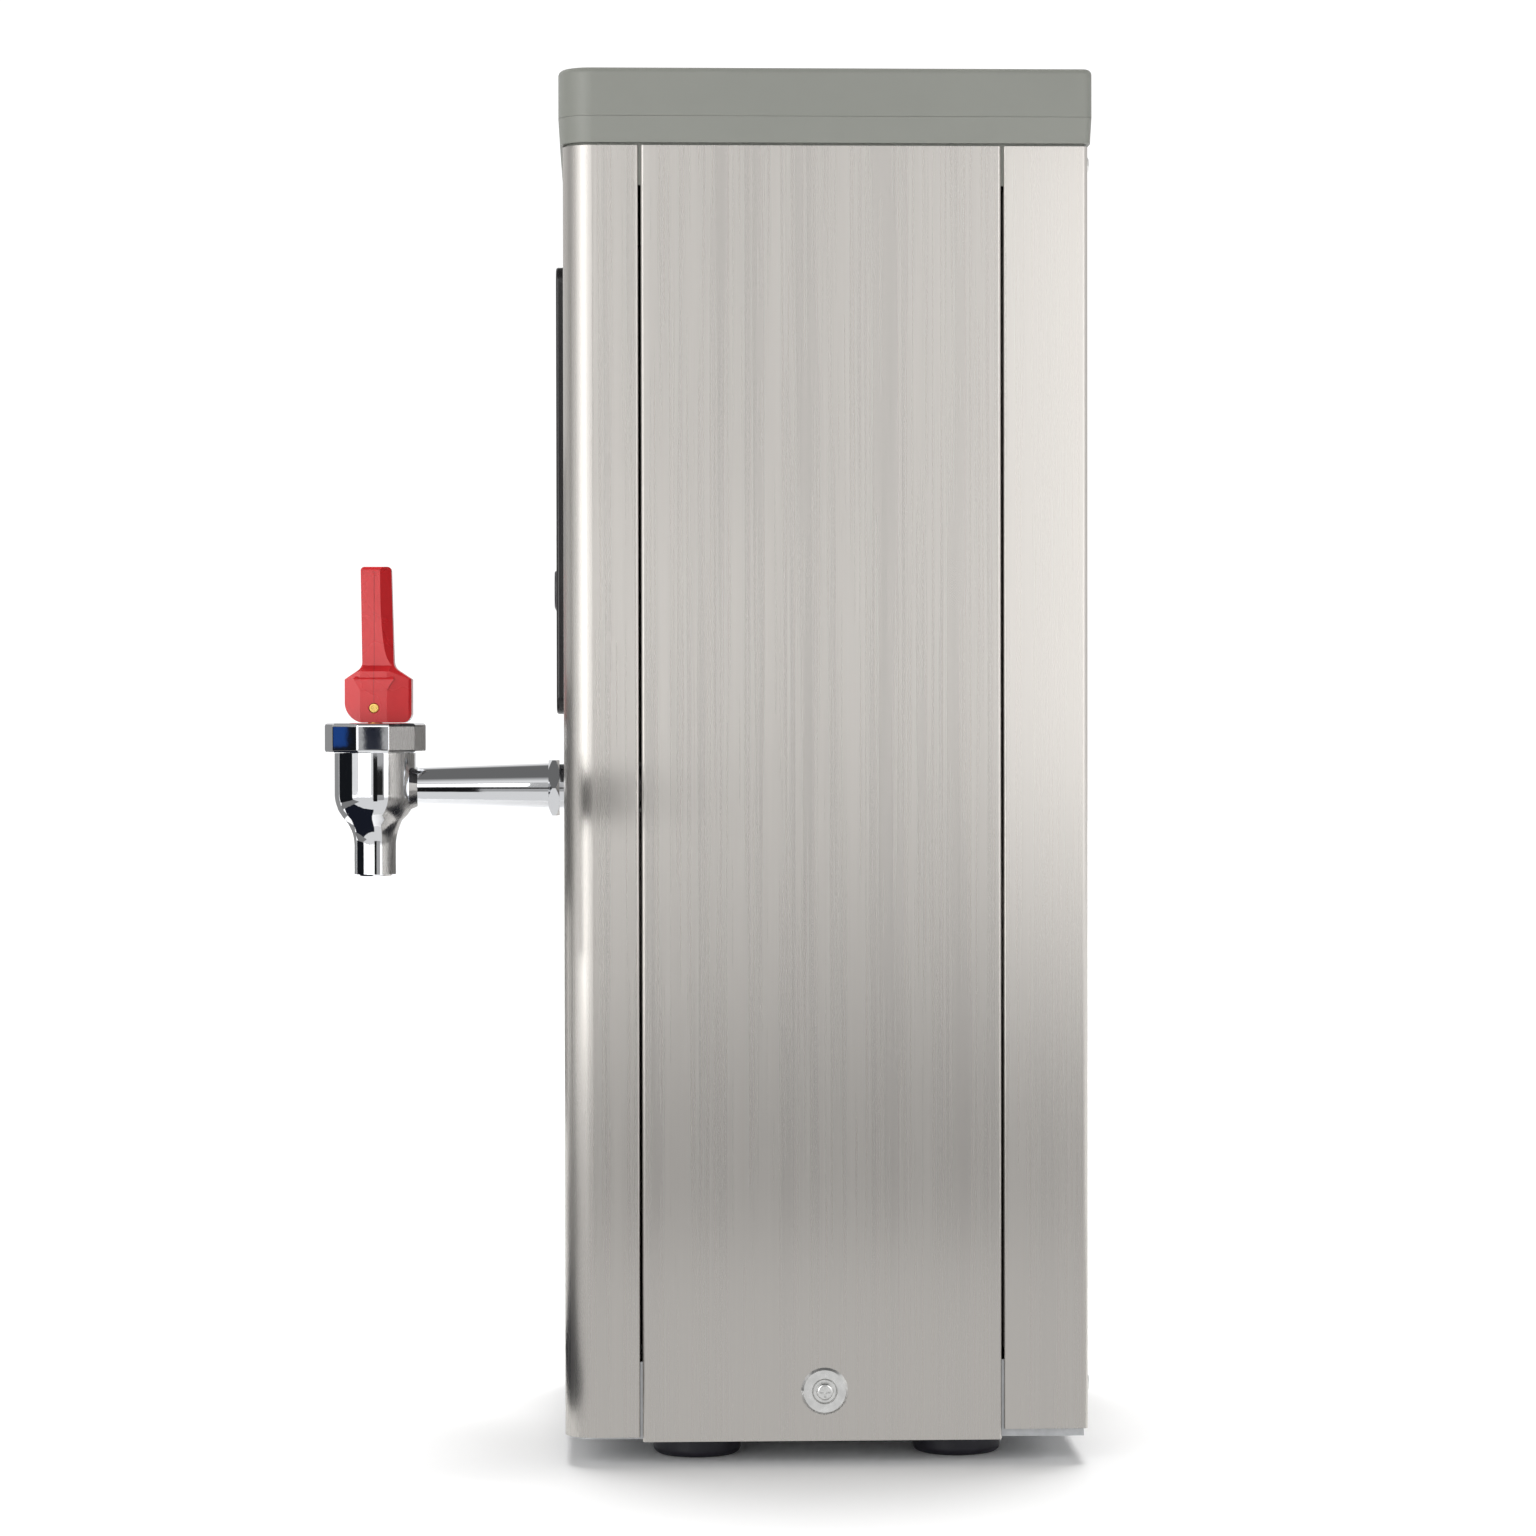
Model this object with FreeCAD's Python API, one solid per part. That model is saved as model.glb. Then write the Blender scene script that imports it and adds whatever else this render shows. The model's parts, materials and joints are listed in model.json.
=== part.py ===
import FreeCAD, Part

import math
import os

V = FreeCAD.Vector
X_AXIS = V(1, 0, 0)
Y_AXIS = V(0, 1, 0)
Z_AXIS = V(0, 0, 1)

# The dispenser stands on z = 0 with its tap towards -Y. A person who faces the tap has +X on the right.
# The origin is under the middle of the whole object, and all lengths are millimetres.

# Cabinet
HALF_WIDTH = 110.0
FRONT_Y = -60.0
CABINET_DEPTH = 200.0
REAR_Y = FRONT_Y + CABINET_DEPTH
FRONT_CORNER_RADIUS = 11.0
REAR_CORNER_RADIUS = 2.0
SHARPEST_CORNER = 0.4
SHEET = 1.2
PANEL_TOP = 503.0
FRONT_PANEL_BOTTOM = 11.3
SIDE_PANEL_BOTTOM = 9.5
REAR_PANEL_BOTTOM = 13.5
FRONT_WRAP = 28.6
REAR_WRAP = 32.2
SEAM = 1.0
FRONT_SEAM_Y = FRONT_Y + FRONT_WRAP
REAR_SEAM_Y = REAR_Y - REAR_WRAP
FLANGE = 9.0
FLANGE_BOTTOM = 44.0
FLANGE_TOP = 486.0

# Base pan and feet
PAN_BOTTOM = 10.5
PAN_TOP = 40.0
PAN_GAP = 0.3
FOOT_RADIUS = 17.0
FOOT_RIM_HEIGHT = 9.5
FOOT_X = 75.0
FOOT_FRONT_Y = -9.0
FOOT_REAR_Y = 92.0
PAN_SLOTS = 7
PAN_SLOT_PITCH = 16.0
PAN_SLOT_FRONT = 22.0
PAN_SLOT_REAR = 62.0

# Top frame and lid
LID_OVERHANG = 1.6
FRAME_BOTTOM = 504.0
FRAME_TOP = 513.9
FRAME_TAPER = 0.6
LID_BOTTOM = 514.0
LID_TOP = 532.4
LID_WALL = 2.5
LID_EDGE = 2.2

# Screws
SCREW_Y = 39.0
SCREW_Z = 28.5
CUP_RADIUS = 9.0
PAN_HEAD_RADIUS = 3.35
PAN_HEAD_HEIGHT = 2.2
REAR_SCREW_X = 92.0
SCREW_HOLE = 1.75

# Control fascia
FASCIA_HALF_WIDTH = 70.0
FASCIA_BOTTOM = 287.0
FASCIA_TOP = 461.0
FASCIA_PROUD = 3.0
FASCIA_RADIUS = 6.5
CUTOUT_HALF_WIDTH = 60.0
CUTOUT_BOTTOM = 300.0
CUTOUT_TOP = 448.0
WINDOW_HALF_WIDTH = 50.0
WINDOW_BOTTOM = 384.0
WINDOW_TOP = 440.0
WINDOW_LEDGE = 3.0
WINDOW_THICKNESS = 2.0
BUTTON_RADIUS = 7.5
BUTTON_Z = 336.0
BUTTON_PITCH = 27.0
BUTTON_GAP = 0.3
BUTTON_PROUD = 1.0
BUTTON_TRAVEL = 0.8
LENS_Z = 356.0
LENS_RADIUS = 1.6
BOARD_Y = -48.0
BOARD_THICKNESS = 1.6
BOARD_POST_X = 53.0
BOARD_POST_INSET = 7.0

# Tap
TAP_Y = FRONT_Y - 77.0
SHANK_Z = 257.0
TAP_RADIUS = 16.5
SPOUT_RADIUS = 8.6
SPOUT_BORE = 6.5
SPOUT_BOTTOM = 221.6
CURVE_TOP = 254.5
CURVE_BOTTOM = 234.0
NECK_RADIUS = 14.6
NECK_TOP = 279.0
SEAT_Z = 252.0
CHAMBER_RADIUS = 12.5
BONNET_HUB_BOTTOM = 270.0
BONNET_BOSS_RADIUS = 12.1
COLLAR_SIDES = 10
COLLAR_RADIUS = 20.45
COLLAR_BOTTOM = 271.3
COLLAR_TOP = 283.3
COLLAR_EDGE = 1.4
BONNET_STEP_Z = COLLAR_TOP - 1.3
SHANK_RADIUS_TAP = 8.1
SHANK_RADIUS_NUT = 9.9
SHANK_START_Y = TAP_Y + TAP_RADIUS + 0.7
SHANK_NOSE_RADIUS = 7.55
SHANK_FLANGE_RADIUS = 9.6
SHANK_NUT_Y = FRONT_Y - 7.0
SHANK_NUT_THICKNESS = 4.4
SHANK_NUT_FLATS = 22.3
THREAD_RADIUS = 8.0
THREAD_END_Y = FRONT_Y + 20.0
BARB_END_Y = THREAD_END_Y + 14.0
BARB_RADIUS = 6.0
SHANK_BORE = 4.0

# Lever, its pin and the valve stem
PIN_Y = TAP_Y
PIN_Z = 289.3
PIN_RADIUS = 2.05
LEVER_GAP = 0.2
CAM_HEIGHT = PIN_Z - COLLAR_TOP - LEVER_GAP
CAM_LIFT = 4.2
TILT_LIMIT = math.radians(40.0)
CHEEK_HALF_WIDTH = 9.4
FACET_HALF_WIDTH = 10.5
LEVER_TOP_HALF_WIDTH = 6.4
LEVER_NECK_HALF_WIDTH = 7.4
SLOT_HALF_WIDTH = 3.5
SLOT_RADIUS = 5.4
LEVER_FRONT = -11.8
LEVER_REAR = 15.0
LEVER_SHOULDER = 11.6
LEVER_NECK = 18.6
LEVER_TOP = 57.0
LEVER_HEEL = 3.6
CROWN_EDGE = 1.6
RELIEF_BOTTOM = 14.8
CHEEK_EDGE_HALF_WIDTH = 8.7
BEVEL_LINE = (
    (-2.45, 62.0),
    (-1.6, 45.0),
    (-0.7, 33.6),
    (0.4, 26.0),
    (1.8, 20.7),
    (3.6, 17.7),
    (6.6, 15.4),
    (10.9, 13.1),
    (13.1, 11.9),
)
BEVEL_CUT = (7.0, 10.7)
FACET_FRONT = -5.5
FACET_REAR = 5.2
BULGE_OUTLINE = ((-5.5, 7.2), (-8.2, 12.0), (-4.8, 15.0), (5.4, 15.0), (8.2, 12.0), (5.2, 7.2))
BULGE_RISE = 0.6
STEM_RADIUS = 3.0
STEM_TOP = PIN_Z + 3.6
CUP_SEAL_RADIUS = 9.0
CUP_SEAL_TOP = 258.0
SPRING_SEAT_Z = CUP_SEAL_TOP + 0.9
SPRING_WIRE = 0.55
SPRING_TURNS = 5

# Tank and its fittings
TANK_HALF_WIDTH = 82.0
TANK_FRONT = -16.0
TANK_REAR = 112.0
TANK_BOTTOM = 290.0
TANK_TOP = 470.0
TANK_RADIUS = 22.0
TANK_WALL = 1.2
JACKET = 9.0
SHELF_TOP = 289.4
OUTLET_Y = 4.0
OUTLET_RADIUS = 6.0
HEATER_X = 34.0
HEATER_Y = 62.0
HEATER_FLANGE_RADIUS = 24.0
HEATER_FLANGE = 3.0
HEATER_SPREAD = 12.0
HEATER_TOP = 372.0
HEATER_ROD = 4.0
HEATER_BEND = 11.0
HEATER_TAB = 10.0
PROBE_X = -34.0
PROBE_Y = 30.0
PROBE_CIRCLE = 6.0
PROBE_RADIUS = 1.5
PROBE_TIPS = (318.0, 400.0, 440.0)
PROBE_HEAD = 14.0
SENSOR_Y = 96.0
SENSOR_RADIUS = 3.0
SENSOR_DEPTH = 120.0
LID_PLATE = 1.5
TANK_LID_BOTTOM = TANK_TOP
TANK_LID_TOP = TANK_LID_BOTTOM + LID_PLATE

# Rear fittings
FITTING_X = -70.0
COLLAR_REACH = COLLAR_RADIUS - COLLAR_EDGE * (1.0 / math.cos(math.pi / COLLAR_SIDES) - 1.0)
REAR_REACH = COLLAR_REACH - TAP_Y
INLET_Z = 118.0
INLET_RADIUS = 10.45
INLET_BORE = 5.5
INLET_HOLE = 11.0
DRAIN_Z = 34.0
DRAIN_HOLE = 9.3
CAP_RADIUS = 11.5
CAP_LENGTH = 13.0
CAP_RIBS = 18
CAP_GROOVE = 1.1
POWER_X = -56.0
POWER_Z = 74.0
SWITCH_X = -14.0
INLET_FACE_Y = REAR_Y + 2.6
HOSE_RADIUS = 5.5
HOSE_BORE = 4.0
HOSE_BEND = 12.0
OUTLET_HOSE_RADIUS = 8.5
DRAIN_X = -40.0
DRAIN_Y = 90.0
FILL_X = -60.0
FILL_Y = 60.0
FILL_RUN_X = -100.0
VALVE_FRONT = 92.0
VALVE_REAR = 122.0
ROCKER_Y = REAR_Y - 3.6
ROCKER_TILT = 10.0
ROCKER_HALF_WIDTH = 4.9
ROCKER_OUTLINE = ((5.6, -6.8), (4.4, 0.0), (5.6, 6.8), (1.0, 6.8), (-3.4, 2.6), (-3.4, -2.6), (1.0, -6.8))
PIVOT_RADIUS = 1.2
SWITCH_HALF_WIDTH = 6.5
SWITCH_HALF_HEIGHT = 9.6
SWITCH_DEPTH = 18.0
SWITCH_TAB_PITCH = 6.0
POWER_HALF_WIDTH = 13.9
POWER_HALF_HEIGHT = 10.4
POWER_DEPTH = 15.0
POWER_FLANGE_HALF_WIDTH = 25.0
POWER_FLANGE_HALF_HEIGHT = 12.5
POWER_CAVITY_HALF_WIDTH = 12.2
POWER_CAVITY_HALF_HEIGHT = 8.2
POWER_SCREW_REACH = 20.0
POWER_PINS = ((-7.0, 0.0), (7.0, 0.0), (0.0, 4.0))
LOUVRE_X = 24.0
LOUVRE_HALF_LENGTH = 19.0
LOUVRE_HEIGHT = 3.2
LOUVRE_PITCH = 9.0
UPPER_LOUVRES = 9
UPPER_LOUVRES_Z = 392.0
LOWER_LOUVRES = 6
LOWER_LOUVRES_Z = 168.0

# Control board
BOARD_X0, BOARD_X1 = 6.0, 96.0
BOARD_Y0, BOARD_Y1 = -30.0, 84.0
BOARD_Z = 30.0
RELAY_X0, RELAY_X1 = 72.0, 92.0
RELAY_YS = (-12.0, 8.0, 28.0)
RELAY_LENGTH = 16.0
RELAY_HEIGHT = 20.0
TRANSFORMER = (20.0, 58.0, 36.0, 72.0)
TRANSFORMER_HEIGHT = 32.0
CAPACITOR_X, CAPACITOR_Y = 24.0, 12.0
CAPACITOR_RADIUS = 6.0
CAPACITOR_HEIGHT = 24.0
SINK_X0, SINK_X1 = 36.0, 60.0
SINK_Y0, SINK_Y1 = -16.0, 20.0
SINK_PLATE = 3.0
FINS = 6
FIN_PITCH = 6.0
FIN_THICKNESS = 1.5
FIN_HEIGHT = 26.0
SOCKET_XS = (18.0, 38.0, 58.0)
SOCKET_Y = -27.0
SOCKET_LENGTH = 14.0
SOCKET_DEPTH = 7.0
SOCKET_HEIGHT = 9.0
PAN_FLOOR = PAN_BOTTOM + SHEET


# Basic solids

def block(x0, x1, y0, y1, z0, z1):
    return Part.makeBox(x1 - x0, y1 - y0, z1 - z0, V(x0, y0, z0))


def rod(radius, length, base, axis=Z_AXIS):
    return Part.makeCylinder(radius, length, base, axis)


def rounded_wire(x0, x1, y0, y1, radius, z, far_radius=None):
    """A closed rounded rectangle in a level plane. Its corners at y1 can have a radius of their own."""
    far = far_radius or radius
    corners = (
        (x1 - far, y1 - far, far, 0.0),
        (x0 + far, y1 - far, far, 90.0),
        (x0 + radius, y0 + radius, radius, 180.0),
        (x1 - radius, y0 + radius, radius, 270.0),
    )
    arcs = []
    for cx, cy, corner, start in corners:
        circle = Part.Circle(V(cx, cy, z), Z_AXIS, corner)
        arcs.append(circle.toShape(math.radians(start), math.radians(start + 90.0)))
    edges = []
    for index, arc in enumerate(arcs):
        following = arcs[(index + 1) % len(arcs)]
        edges.append(arc)
        edges.append(Part.makeLine(arc.Vertexes[-1].Point, following.Vertexes[0].Point))
    return Part.Wire(edges)


def rounded_prism(x0, x1, y0, y1, radius, z0, z1, far_radius=None):
    face = Part.Face(rounded_wire(x0, x1, y0, y1, radius, z0, far_radius))
    return face.extrude(V(0, 0, z1 - z0))


def upright_plate(x0, x1, z0, z1, radius, y0, y1):
    """A plate facing the front, with rounded corners seen from the front."""
    plate = rounded_prism(x0, x1, -z1, -z0, radius, y0, y1)
    plate.rotate(V(0, 0, 0), X_AXIS, -90.0)
    return plate


def cabinet_prism(inset, z0, z1):
    """The cabinet's outline drawn in by an inset on every side."""
    half = HALF_WIDTH - inset
    front = FRONT_CORNER_RADIUS - inset
    rear = max(REAR_CORNER_RADIUS - inset, SHARPEST_CORNER)
    return rounded_prism(-half, half, FRONT_Y + inset, REAR_Y - inset, front, z0, z1, rear)


def polygon_prism(points, vector):
    """A prism from corner points given in order round its end face."""
    ring = [V(*point) for point in points]
    return Part.Face(Part.makePolygon(ring + ring[:1])).extrude(vector)


def fuse(first, *others):
    return first.fuse(list(others)).removeSplitter()


def cut(first, *others):
    return first.cut(list(others))


def group(shapes):
    return Part.makeCompound(shapes)


def edges_where(shape, test):
    return [edge for edge in shape.Edges if test(edge.BoundBox)]


def both_sides(x):
    return (x, -x)


def hexagon(flats, length, base, axis):
    """A hexagonal bar with a given distance between its flats."""
    radius = flats / math.sqrt(3.0)
    points = []
    for step in range(6):
        angle = math.radians(60.0 * step)
        points.append((radius * math.cos(angle), radius * math.sin(angle), 0.0))
    bar = polygon_prism(points, V(0, 0, length))
    turn = FreeCAD.Rotation(Z_AXIS, axis)
    bar.Placement = FreeCAD.Placement(base, turn)
    return bar


def pipe(points, radius, bore, bend):
    """A round hose along straight runs joined by tangent arcs."""
    corners = [V(*point) for point in points]
    edges = []
    start = corners[0]
    for before, corner, after in zip(corners, corners[1:], corners[2:]):
        towards = (before - corner).normalize()
        onward = (after - corner).normalize()
        half_turn = towards.getAngle(onward) / 2.0
        reach = bend / math.tan(half_turn)
        first = corner + towards * reach
        last = corner + onward * reach
        inward = (towards + onward).normalize()
        middle = corner + inward * (bend / math.sin(half_turn) - bend)
        edges.append(Part.makeLine(start, first))
        edges.append(Part.Arc(first, middle, last).toShape())
        start = last
    edges.append(Part.makeLine(start, corners[-1]))
    spine = Part.Wire(edges)
    heading = corners[1] - corners[0]
    outer = spine.makePipeShell([Part.Wire(Part.makeCircle(radius, corners[0], heading))], True, False)
    if not bore:
        return outer
    inner = spine.makePipeShell([Part.Wire(Part.makeCircle(bore, corners[0], heading))], True, False)
    return outer.cut(inner)


def pan_screw(base, axis, length, shaft_radius, head_radius=PAN_HEAD_RADIUS):
    """A domed-head screw whose head stands out along its axis from the base point."""
    half = head_radius / 7.0
    head = rod(head_radius, PAN_HEAD_HEIGHT, base, axis)
    far = base + axis * PAN_HEAD_HEIGHT
    top_edges = [edge for edge in head.Edges if (edge.CenterOfMass - far).Length < 0.01]
    head = head.makeFillet(PAN_HEAD_HEIGHT * 0.55, top_edges)
    shaft = rod(shaft_radius, length, base - axis * length, axis)
    screw = head.fuse(shaft)
    slot_depth = PAN_HEAD_HEIGHT * 0.55
    for angle in (0.0, 90.0):
        bar = block(-half, half, -head_radius * 0.62, head_radius * 0.62, 0.0, slot_depth * 2.0)
        bar.rotate(V(0, 0, 0), Z_AXIS, angle)
        turn = FreeCAD.Rotation(Z_AXIS, axis)
        bar.Placement = FreeCAD.Placement(far - axis * slot_depth, turn).multiply(bar.Placement)
        screw = screw.cut(bar)
    return screw


# Cabinet

def base_pan():
    """A folded tray that carries the feet, the panels and the parts inside."""
    outer = cabinet_prism(SHEET + PAN_GAP, PAN_BOTTOM, PAN_TOP)
    inner = cabinet_prism(2.0 * SHEET + PAN_GAP, PAN_BOTTOM + SHEET, PAN_TOP)
    pan = cut(outer, inner)
    holes = [rod(2.7, 4.0, V(x, y, PAN_BOTTOM - 1.0)) for x, y in foot_places()]
    reach = 2.0 * HALF_WIDTH
    holes.append(rod(SCREW_HOLE, reach, V(-HALF_WIDTH, SCREW_Y, SCREW_Z), X_AXIS))
    for x in both_sides(REAR_SCREW_X):
        holes.append(rod(SCREW_HOLE, 8.0, V(x, REAR_Y - 8.0, SCREW_Z), Y_AXIS))
    holes.append(rod(DRAIN_HOLE, 8.0, V(FITTING_X, REAR_Y - 8.0, DRAIN_Z), Y_AXIS))
    low = PAN_BOTTOM - 1.0
    for column in range(PAN_SLOTS):
        x = (column - (PAN_SLOTS - 1) / 2.0) * PAN_SLOT_PITCH
        holes.append(block(x - 2.0, x + 2.0, PAN_SLOT_FRONT, PAN_SLOT_REAR, low, low + 3.0))
    return cut(pan, *holes)


def foot_places():
    return [(x, y) for y in (FOOT_FRONT_Y, FOOT_REAR_Y) for x in both_sides(FOOT_X)]


def foot(x, y):
    """A rubber disc with a rounded tread, a neck and a deep screw recess."""
    disc = rod(FOOT_RADIUS, FOOT_RIM_HEIGHT, V(x, y, 0))
    disc = disc.makeFillet(2.6, edges_where(disc, lambda box: box.ZMax < 0.01))
    disc = disc.makeFillet(0.8, edges_where(disc, lambda box: box.ZMin > FOOT_RIM_HEIGHT - 0.01))
    neck = rod(12.0, PAN_BOTTOM - FOOT_RIM_HEIGHT + 1.0, V(x, y, FOOT_RIM_HEIGHT - 1.0))
    recess = rod(5.5, 5.0, V(x, y, 0))
    hole = rod(2.45, PAN_BOTTOM, V(x, y, 0))
    return cut(fuse(disc, neck), recess, hole)


def foot_screws():
    down = V(0, 0, -1)
    return group([pan_screw(V(x, y, 5.0), down, 13.0, 2.3, 4.4) for x, y in foot_places()])


def u_panel(kept, bottom):
    """A sheet bent round two upright corners of the cabinet."""
    outer = cabinet_prism(0.0, bottom, PANEL_TOP)
    inner = cabinet_prism(SHEET, bottom, PANEL_TOP)
    return cut(outer, inner).common(kept)


def seam_flange(side, y0, y1):
    """The strip of a panel that turns in behind a seam."""
    inner_x = side * (HALF_WIDTH - FLANGE)
    outer_x = side * (HALF_WIDTH - SHEET)
    x0, x1 = sorted((inner_x, outer_x))
    return block(x0, x1, y0, y1, FLANGE_BOTTOM, FLANGE_TOP)


def round_seam_edges(panel, seam_y, radius):
    """Round the bent edge beside a seam where its flange turns in."""
    def beside_seam(box):
        upright = box.ZLength > 100.0
        at_side = abs(abs(box.Center.x) - HALF_WIDTH) < 0.01
        at_seam = abs(box.Center.y - seam_y) < 0.01
        return upright and at_side and at_seam
    return panel.makeFillet(radius, edges_where(panel, beside_seam))


def front_panel():
    kept = block(-HALF_WIDTH, HALF_WIDTH, FRONT_Y, FRONT_SEAM_Y, 0, PANEL_TOP)
    panel = u_panel(kept, FRONT_PANEL_BOTTOM)
    flanges = [seam_flange(side, FRONT_SEAM_Y - SHEET, FRONT_SEAM_Y) for side in (1, -1)]
    panel = fuse(panel, *flanges)
    panel = round_seam_edges(panel, FRONT_SEAM_Y, SHEET * 0.8)
    window = upright_plate(
        -CUTOUT_HALF_WIDTH, CUTOUT_HALF_WIDTH, CUTOUT_BOTTOM, CUTOUT_TOP, 5.0, FRONT_Y - 1.0, FRONT_Y + 3.0
    )
    tap_hole = rod(THREAD_RADIUS + 0.3, 4.0, V(0, FRONT_Y - 1.0, SHANK_Z), Y_AXIS)
    return cut(panel, window, tap_hole)


def side_panel(side):
    """A flat sheet with both upright edges bent in, held by one screw near the base."""
    x0, x1 = sorted((side * (HALF_WIDTH - SHEET), side * HALF_WIDTH))
    y0 = FRONT_SEAM_Y + SEAM
    y1 = REAR_SEAM_Y - SEAM
    sheet = block(x0, x1, y0, y1, SIDE_PANEL_BOTTOM, PANEL_TOP)
    panel = fuse(
        sheet,
        seam_flange(side, y0, y0 + SHEET),
        seam_flange(side, y1 - SHEET, y1),
    )
    panel = round_seam_edges(panel, y0, SHEET * 0.9)
    panel = round_seam_edges(panel, y1, SHEET * 0.9)
    hole = rod(SCREW_HOLE, 4.0, V(side * HALF_WIDTH - 2.0, SCREW_Y, SCREW_Z), X_AXIS)
    return cut(panel, hole)


def rear_block(x, half_width, half_height, y0, y1):
    """A block centred on the height of the power inlet and its switch."""
    return block(x - half_width, x + half_width, y0, y1, POWER_Z - half_height, POWER_Z + half_height)


def rear_plate(x, half_width, half_height, radius, y0, y1):
    """A round-cornered plate at the same height."""
    z0, z1 = POWER_Z - half_height, POWER_Z + half_height
    return upright_plate(x - half_width, x + half_width, z0, z1, radius, y0, y1)


def louvres(z0, rows):
    """Rows of vent slots, each row two slots wide."""
    slots = []
    for row in range(rows):
        z = z0 + row * LOUVRE_PITCH
        for x in both_sides(LOUVRE_X):
            x0, x1 = x - LOUVRE_HALF_LENGTH, x + LOUVRE_HALF_LENGTH
            slots.append(upright_plate(x0, x1, z, z + LOUVRE_HEIGHT, 1.5, REAR_Y - 3.0, REAR_Y + 1.0))
    return slots


def rear_panel():
    kept = block(-HALF_WIDTH, HALF_WIDTH, REAR_SEAM_Y, REAR_Y, 0, PANEL_TOP)
    panel = u_panel(kept, REAR_PANEL_BOTTOM)
    flanges = [seam_flange(side, REAR_SEAM_Y, REAR_SEAM_Y + SHEET) for side in (1, -1)]
    panel = fuse(panel, *flanges)
    panel = round_seam_edges(panel, REAR_SEAM_Y, SHEET * 0.8)
    start = REAR_Y - 3.0
    openings = louvres(UPPER_LOUVRES_Z, UPPER_LOUVRES) + louvres(LOWER_LOUVRES_Z, LOWER_LOUVRES)
    openings.append(rod(INLET_HOLE, 6.0, V(FITTING_X, start, INLET_Z), Y_AXIS))
    openings.append(rod(DRAIN_HOLE, 6.0, V(FITTING_X, start, DRAIN_Z), Y_AXIS))
    end = REAR_Y + 1.0
    openings.append(rear_block(POWER_X, POWER_HALF_WIDTH + 0.3, POWER_HALF_HEIGHT + 0.3, start, end))
    openings.append(rear_block(SWITCH_X, SWITCH_HALF_WIDTH + 0.2, SWITCH_HALF_HEIGHT + 0.2, start, end))
    screw_holes = rear_screw_places() + [(x, POWER_Z) for x in inlet_screw_xs()]
    for x, z in screw_holes:
        openings.append(rod(SCREW_HOLE, 6.0, V(x, start, z), Y_AXIS))
    return cut(panel, *openings)


def rear_screw_places():
    heights = (SCREW_Z, FRAME_BOTTOM - 6.0)
    return [(x, z) for z in heights for x in both_sides(REAR_SCREW_X)]


def rear_screws():
    """Four panel screws and the two that hold the power inlet."""
    screws = []
    for x, z in rear_screw_places():
        screws.append(pan_screw(V(x, REAR_Y, z), Y_AXIS, 7.0, 1.65))
    for x in inlet_screw_xs():
        screws.append(pan_screw(V(x, INLET_FACE_Y, POWER_Z), Y_AXIS, 8.0, 1.5, 2.7))
    return group(screws)


def side_cup_washers():
    """Shallow dished washers under the two side screws."""
    washers = []
    for side in (1, -1):
        outward = V(side, 0, 0)
        base = V(side * HALF_WIDTH, SCREW_Y, SCREW_Z)
        dish = Part.makeCone(CUP_RADIUS, CUP_RADIUS - 0.9, 0.9, base, outward)
        hollow = Part.makeCone(4.3, 4.9, 0.6, base + outward * 0.3, outward)
        washers.append(cut(dish, hollow, rod(SCREW_HOLE, 2.0, base, outward)))
    return group(washers)


def side_panel_screws():
    screws = []
    for side in (1, -1):
        base = V(side * (HALF_WIDTH + 0.3), SCREW_Y, SCREW_Z)
        screws.append(pan_screw(base, V(side, 0, 0), 8.0, 1.65))
    return group(screws)


def outline(grow, z):
    half = HALF_WIDTH + grow
    front = FRONT_CORNER_RADIUS + grow
    rear = REAR_CORNER_RADIUS + grow
    return rounded_wire(-half, half, FRONT_Y - grow, REAR_Y + grow, front, z, rear)


def top_frame():
    """A moulded ring with a tapering band outside and a spigot inside the panels."""
    lower = outline(LID_OVERHANG - FRAME_TAPER, FRAME_BOTTOM)
    upper = outline(LID_OVERHANG, FRAME_TOP)
    band = Part.makeLoft([lower, upper], True, True)
    spigot = cabinet_prism(SHEET + PAN_GAP, FLANGE_TOP + 2.0, FRAME_BOTTOM + 1.0)
    ring = fuse(band, spigot)
    well = cabinet_prism(SHEET + PAN_GAP + 1.6, FLANGE_TOP, FRAME_TOP + 1.0)
    start, z = REAR_Y - 8.0, FRAME_BOTTOM - 6.0
    holes = [rod(SCREW_HOLE, 8.0, V(x, start, z), Y_AXIS) for x in both_sides(REAR_SCREW_X)]
    return cut(ring, well, *holes)


def lid():
    """A moulded cover with a rib that locates inside the top frame."""
    def at_top(box):
        return box.ZMin > LID_TOP - 0.01
    outer = Part.Face(outline(LID_OVERHANG, LID_BOTTOM)).extrude(V(0, 0, LID_TOP - LID_BOTTOM))
    outer = outer.makeFillet(LID_EDGE, edges_where(outer, at_top))
    inner = cabinet_prism(LID_WALL - LID_OVERHANG, LID_BOTTOM, LID_TOP - LID_WALL)
    rib_inset = SHEET + PAN_GAP + 2.0
    rib_outer = cabinet_prism(rib_inset, FRAME_BOTTOM + 3.0, LID_TOP - LID_WALL + 0.5)
    rib_inner = cabinet_prism(rib_inset + 1.8, FRAME_BOTTOM + 2.0, LID_TOP - LID_WALL + 1.0)
    return fuse(cut(outer, inner), cut(rib_outer, rib_inner))


def rating_plate():
    return upright_plate(18.0, 88.0, 104.0, 144.0, 3.0, REAR_Y, REAR_Y + 0.6)


# Control fascia

def button_places():
    return [(step - 1.5) * BUTTON_PITCH for step in range(4)]


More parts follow.
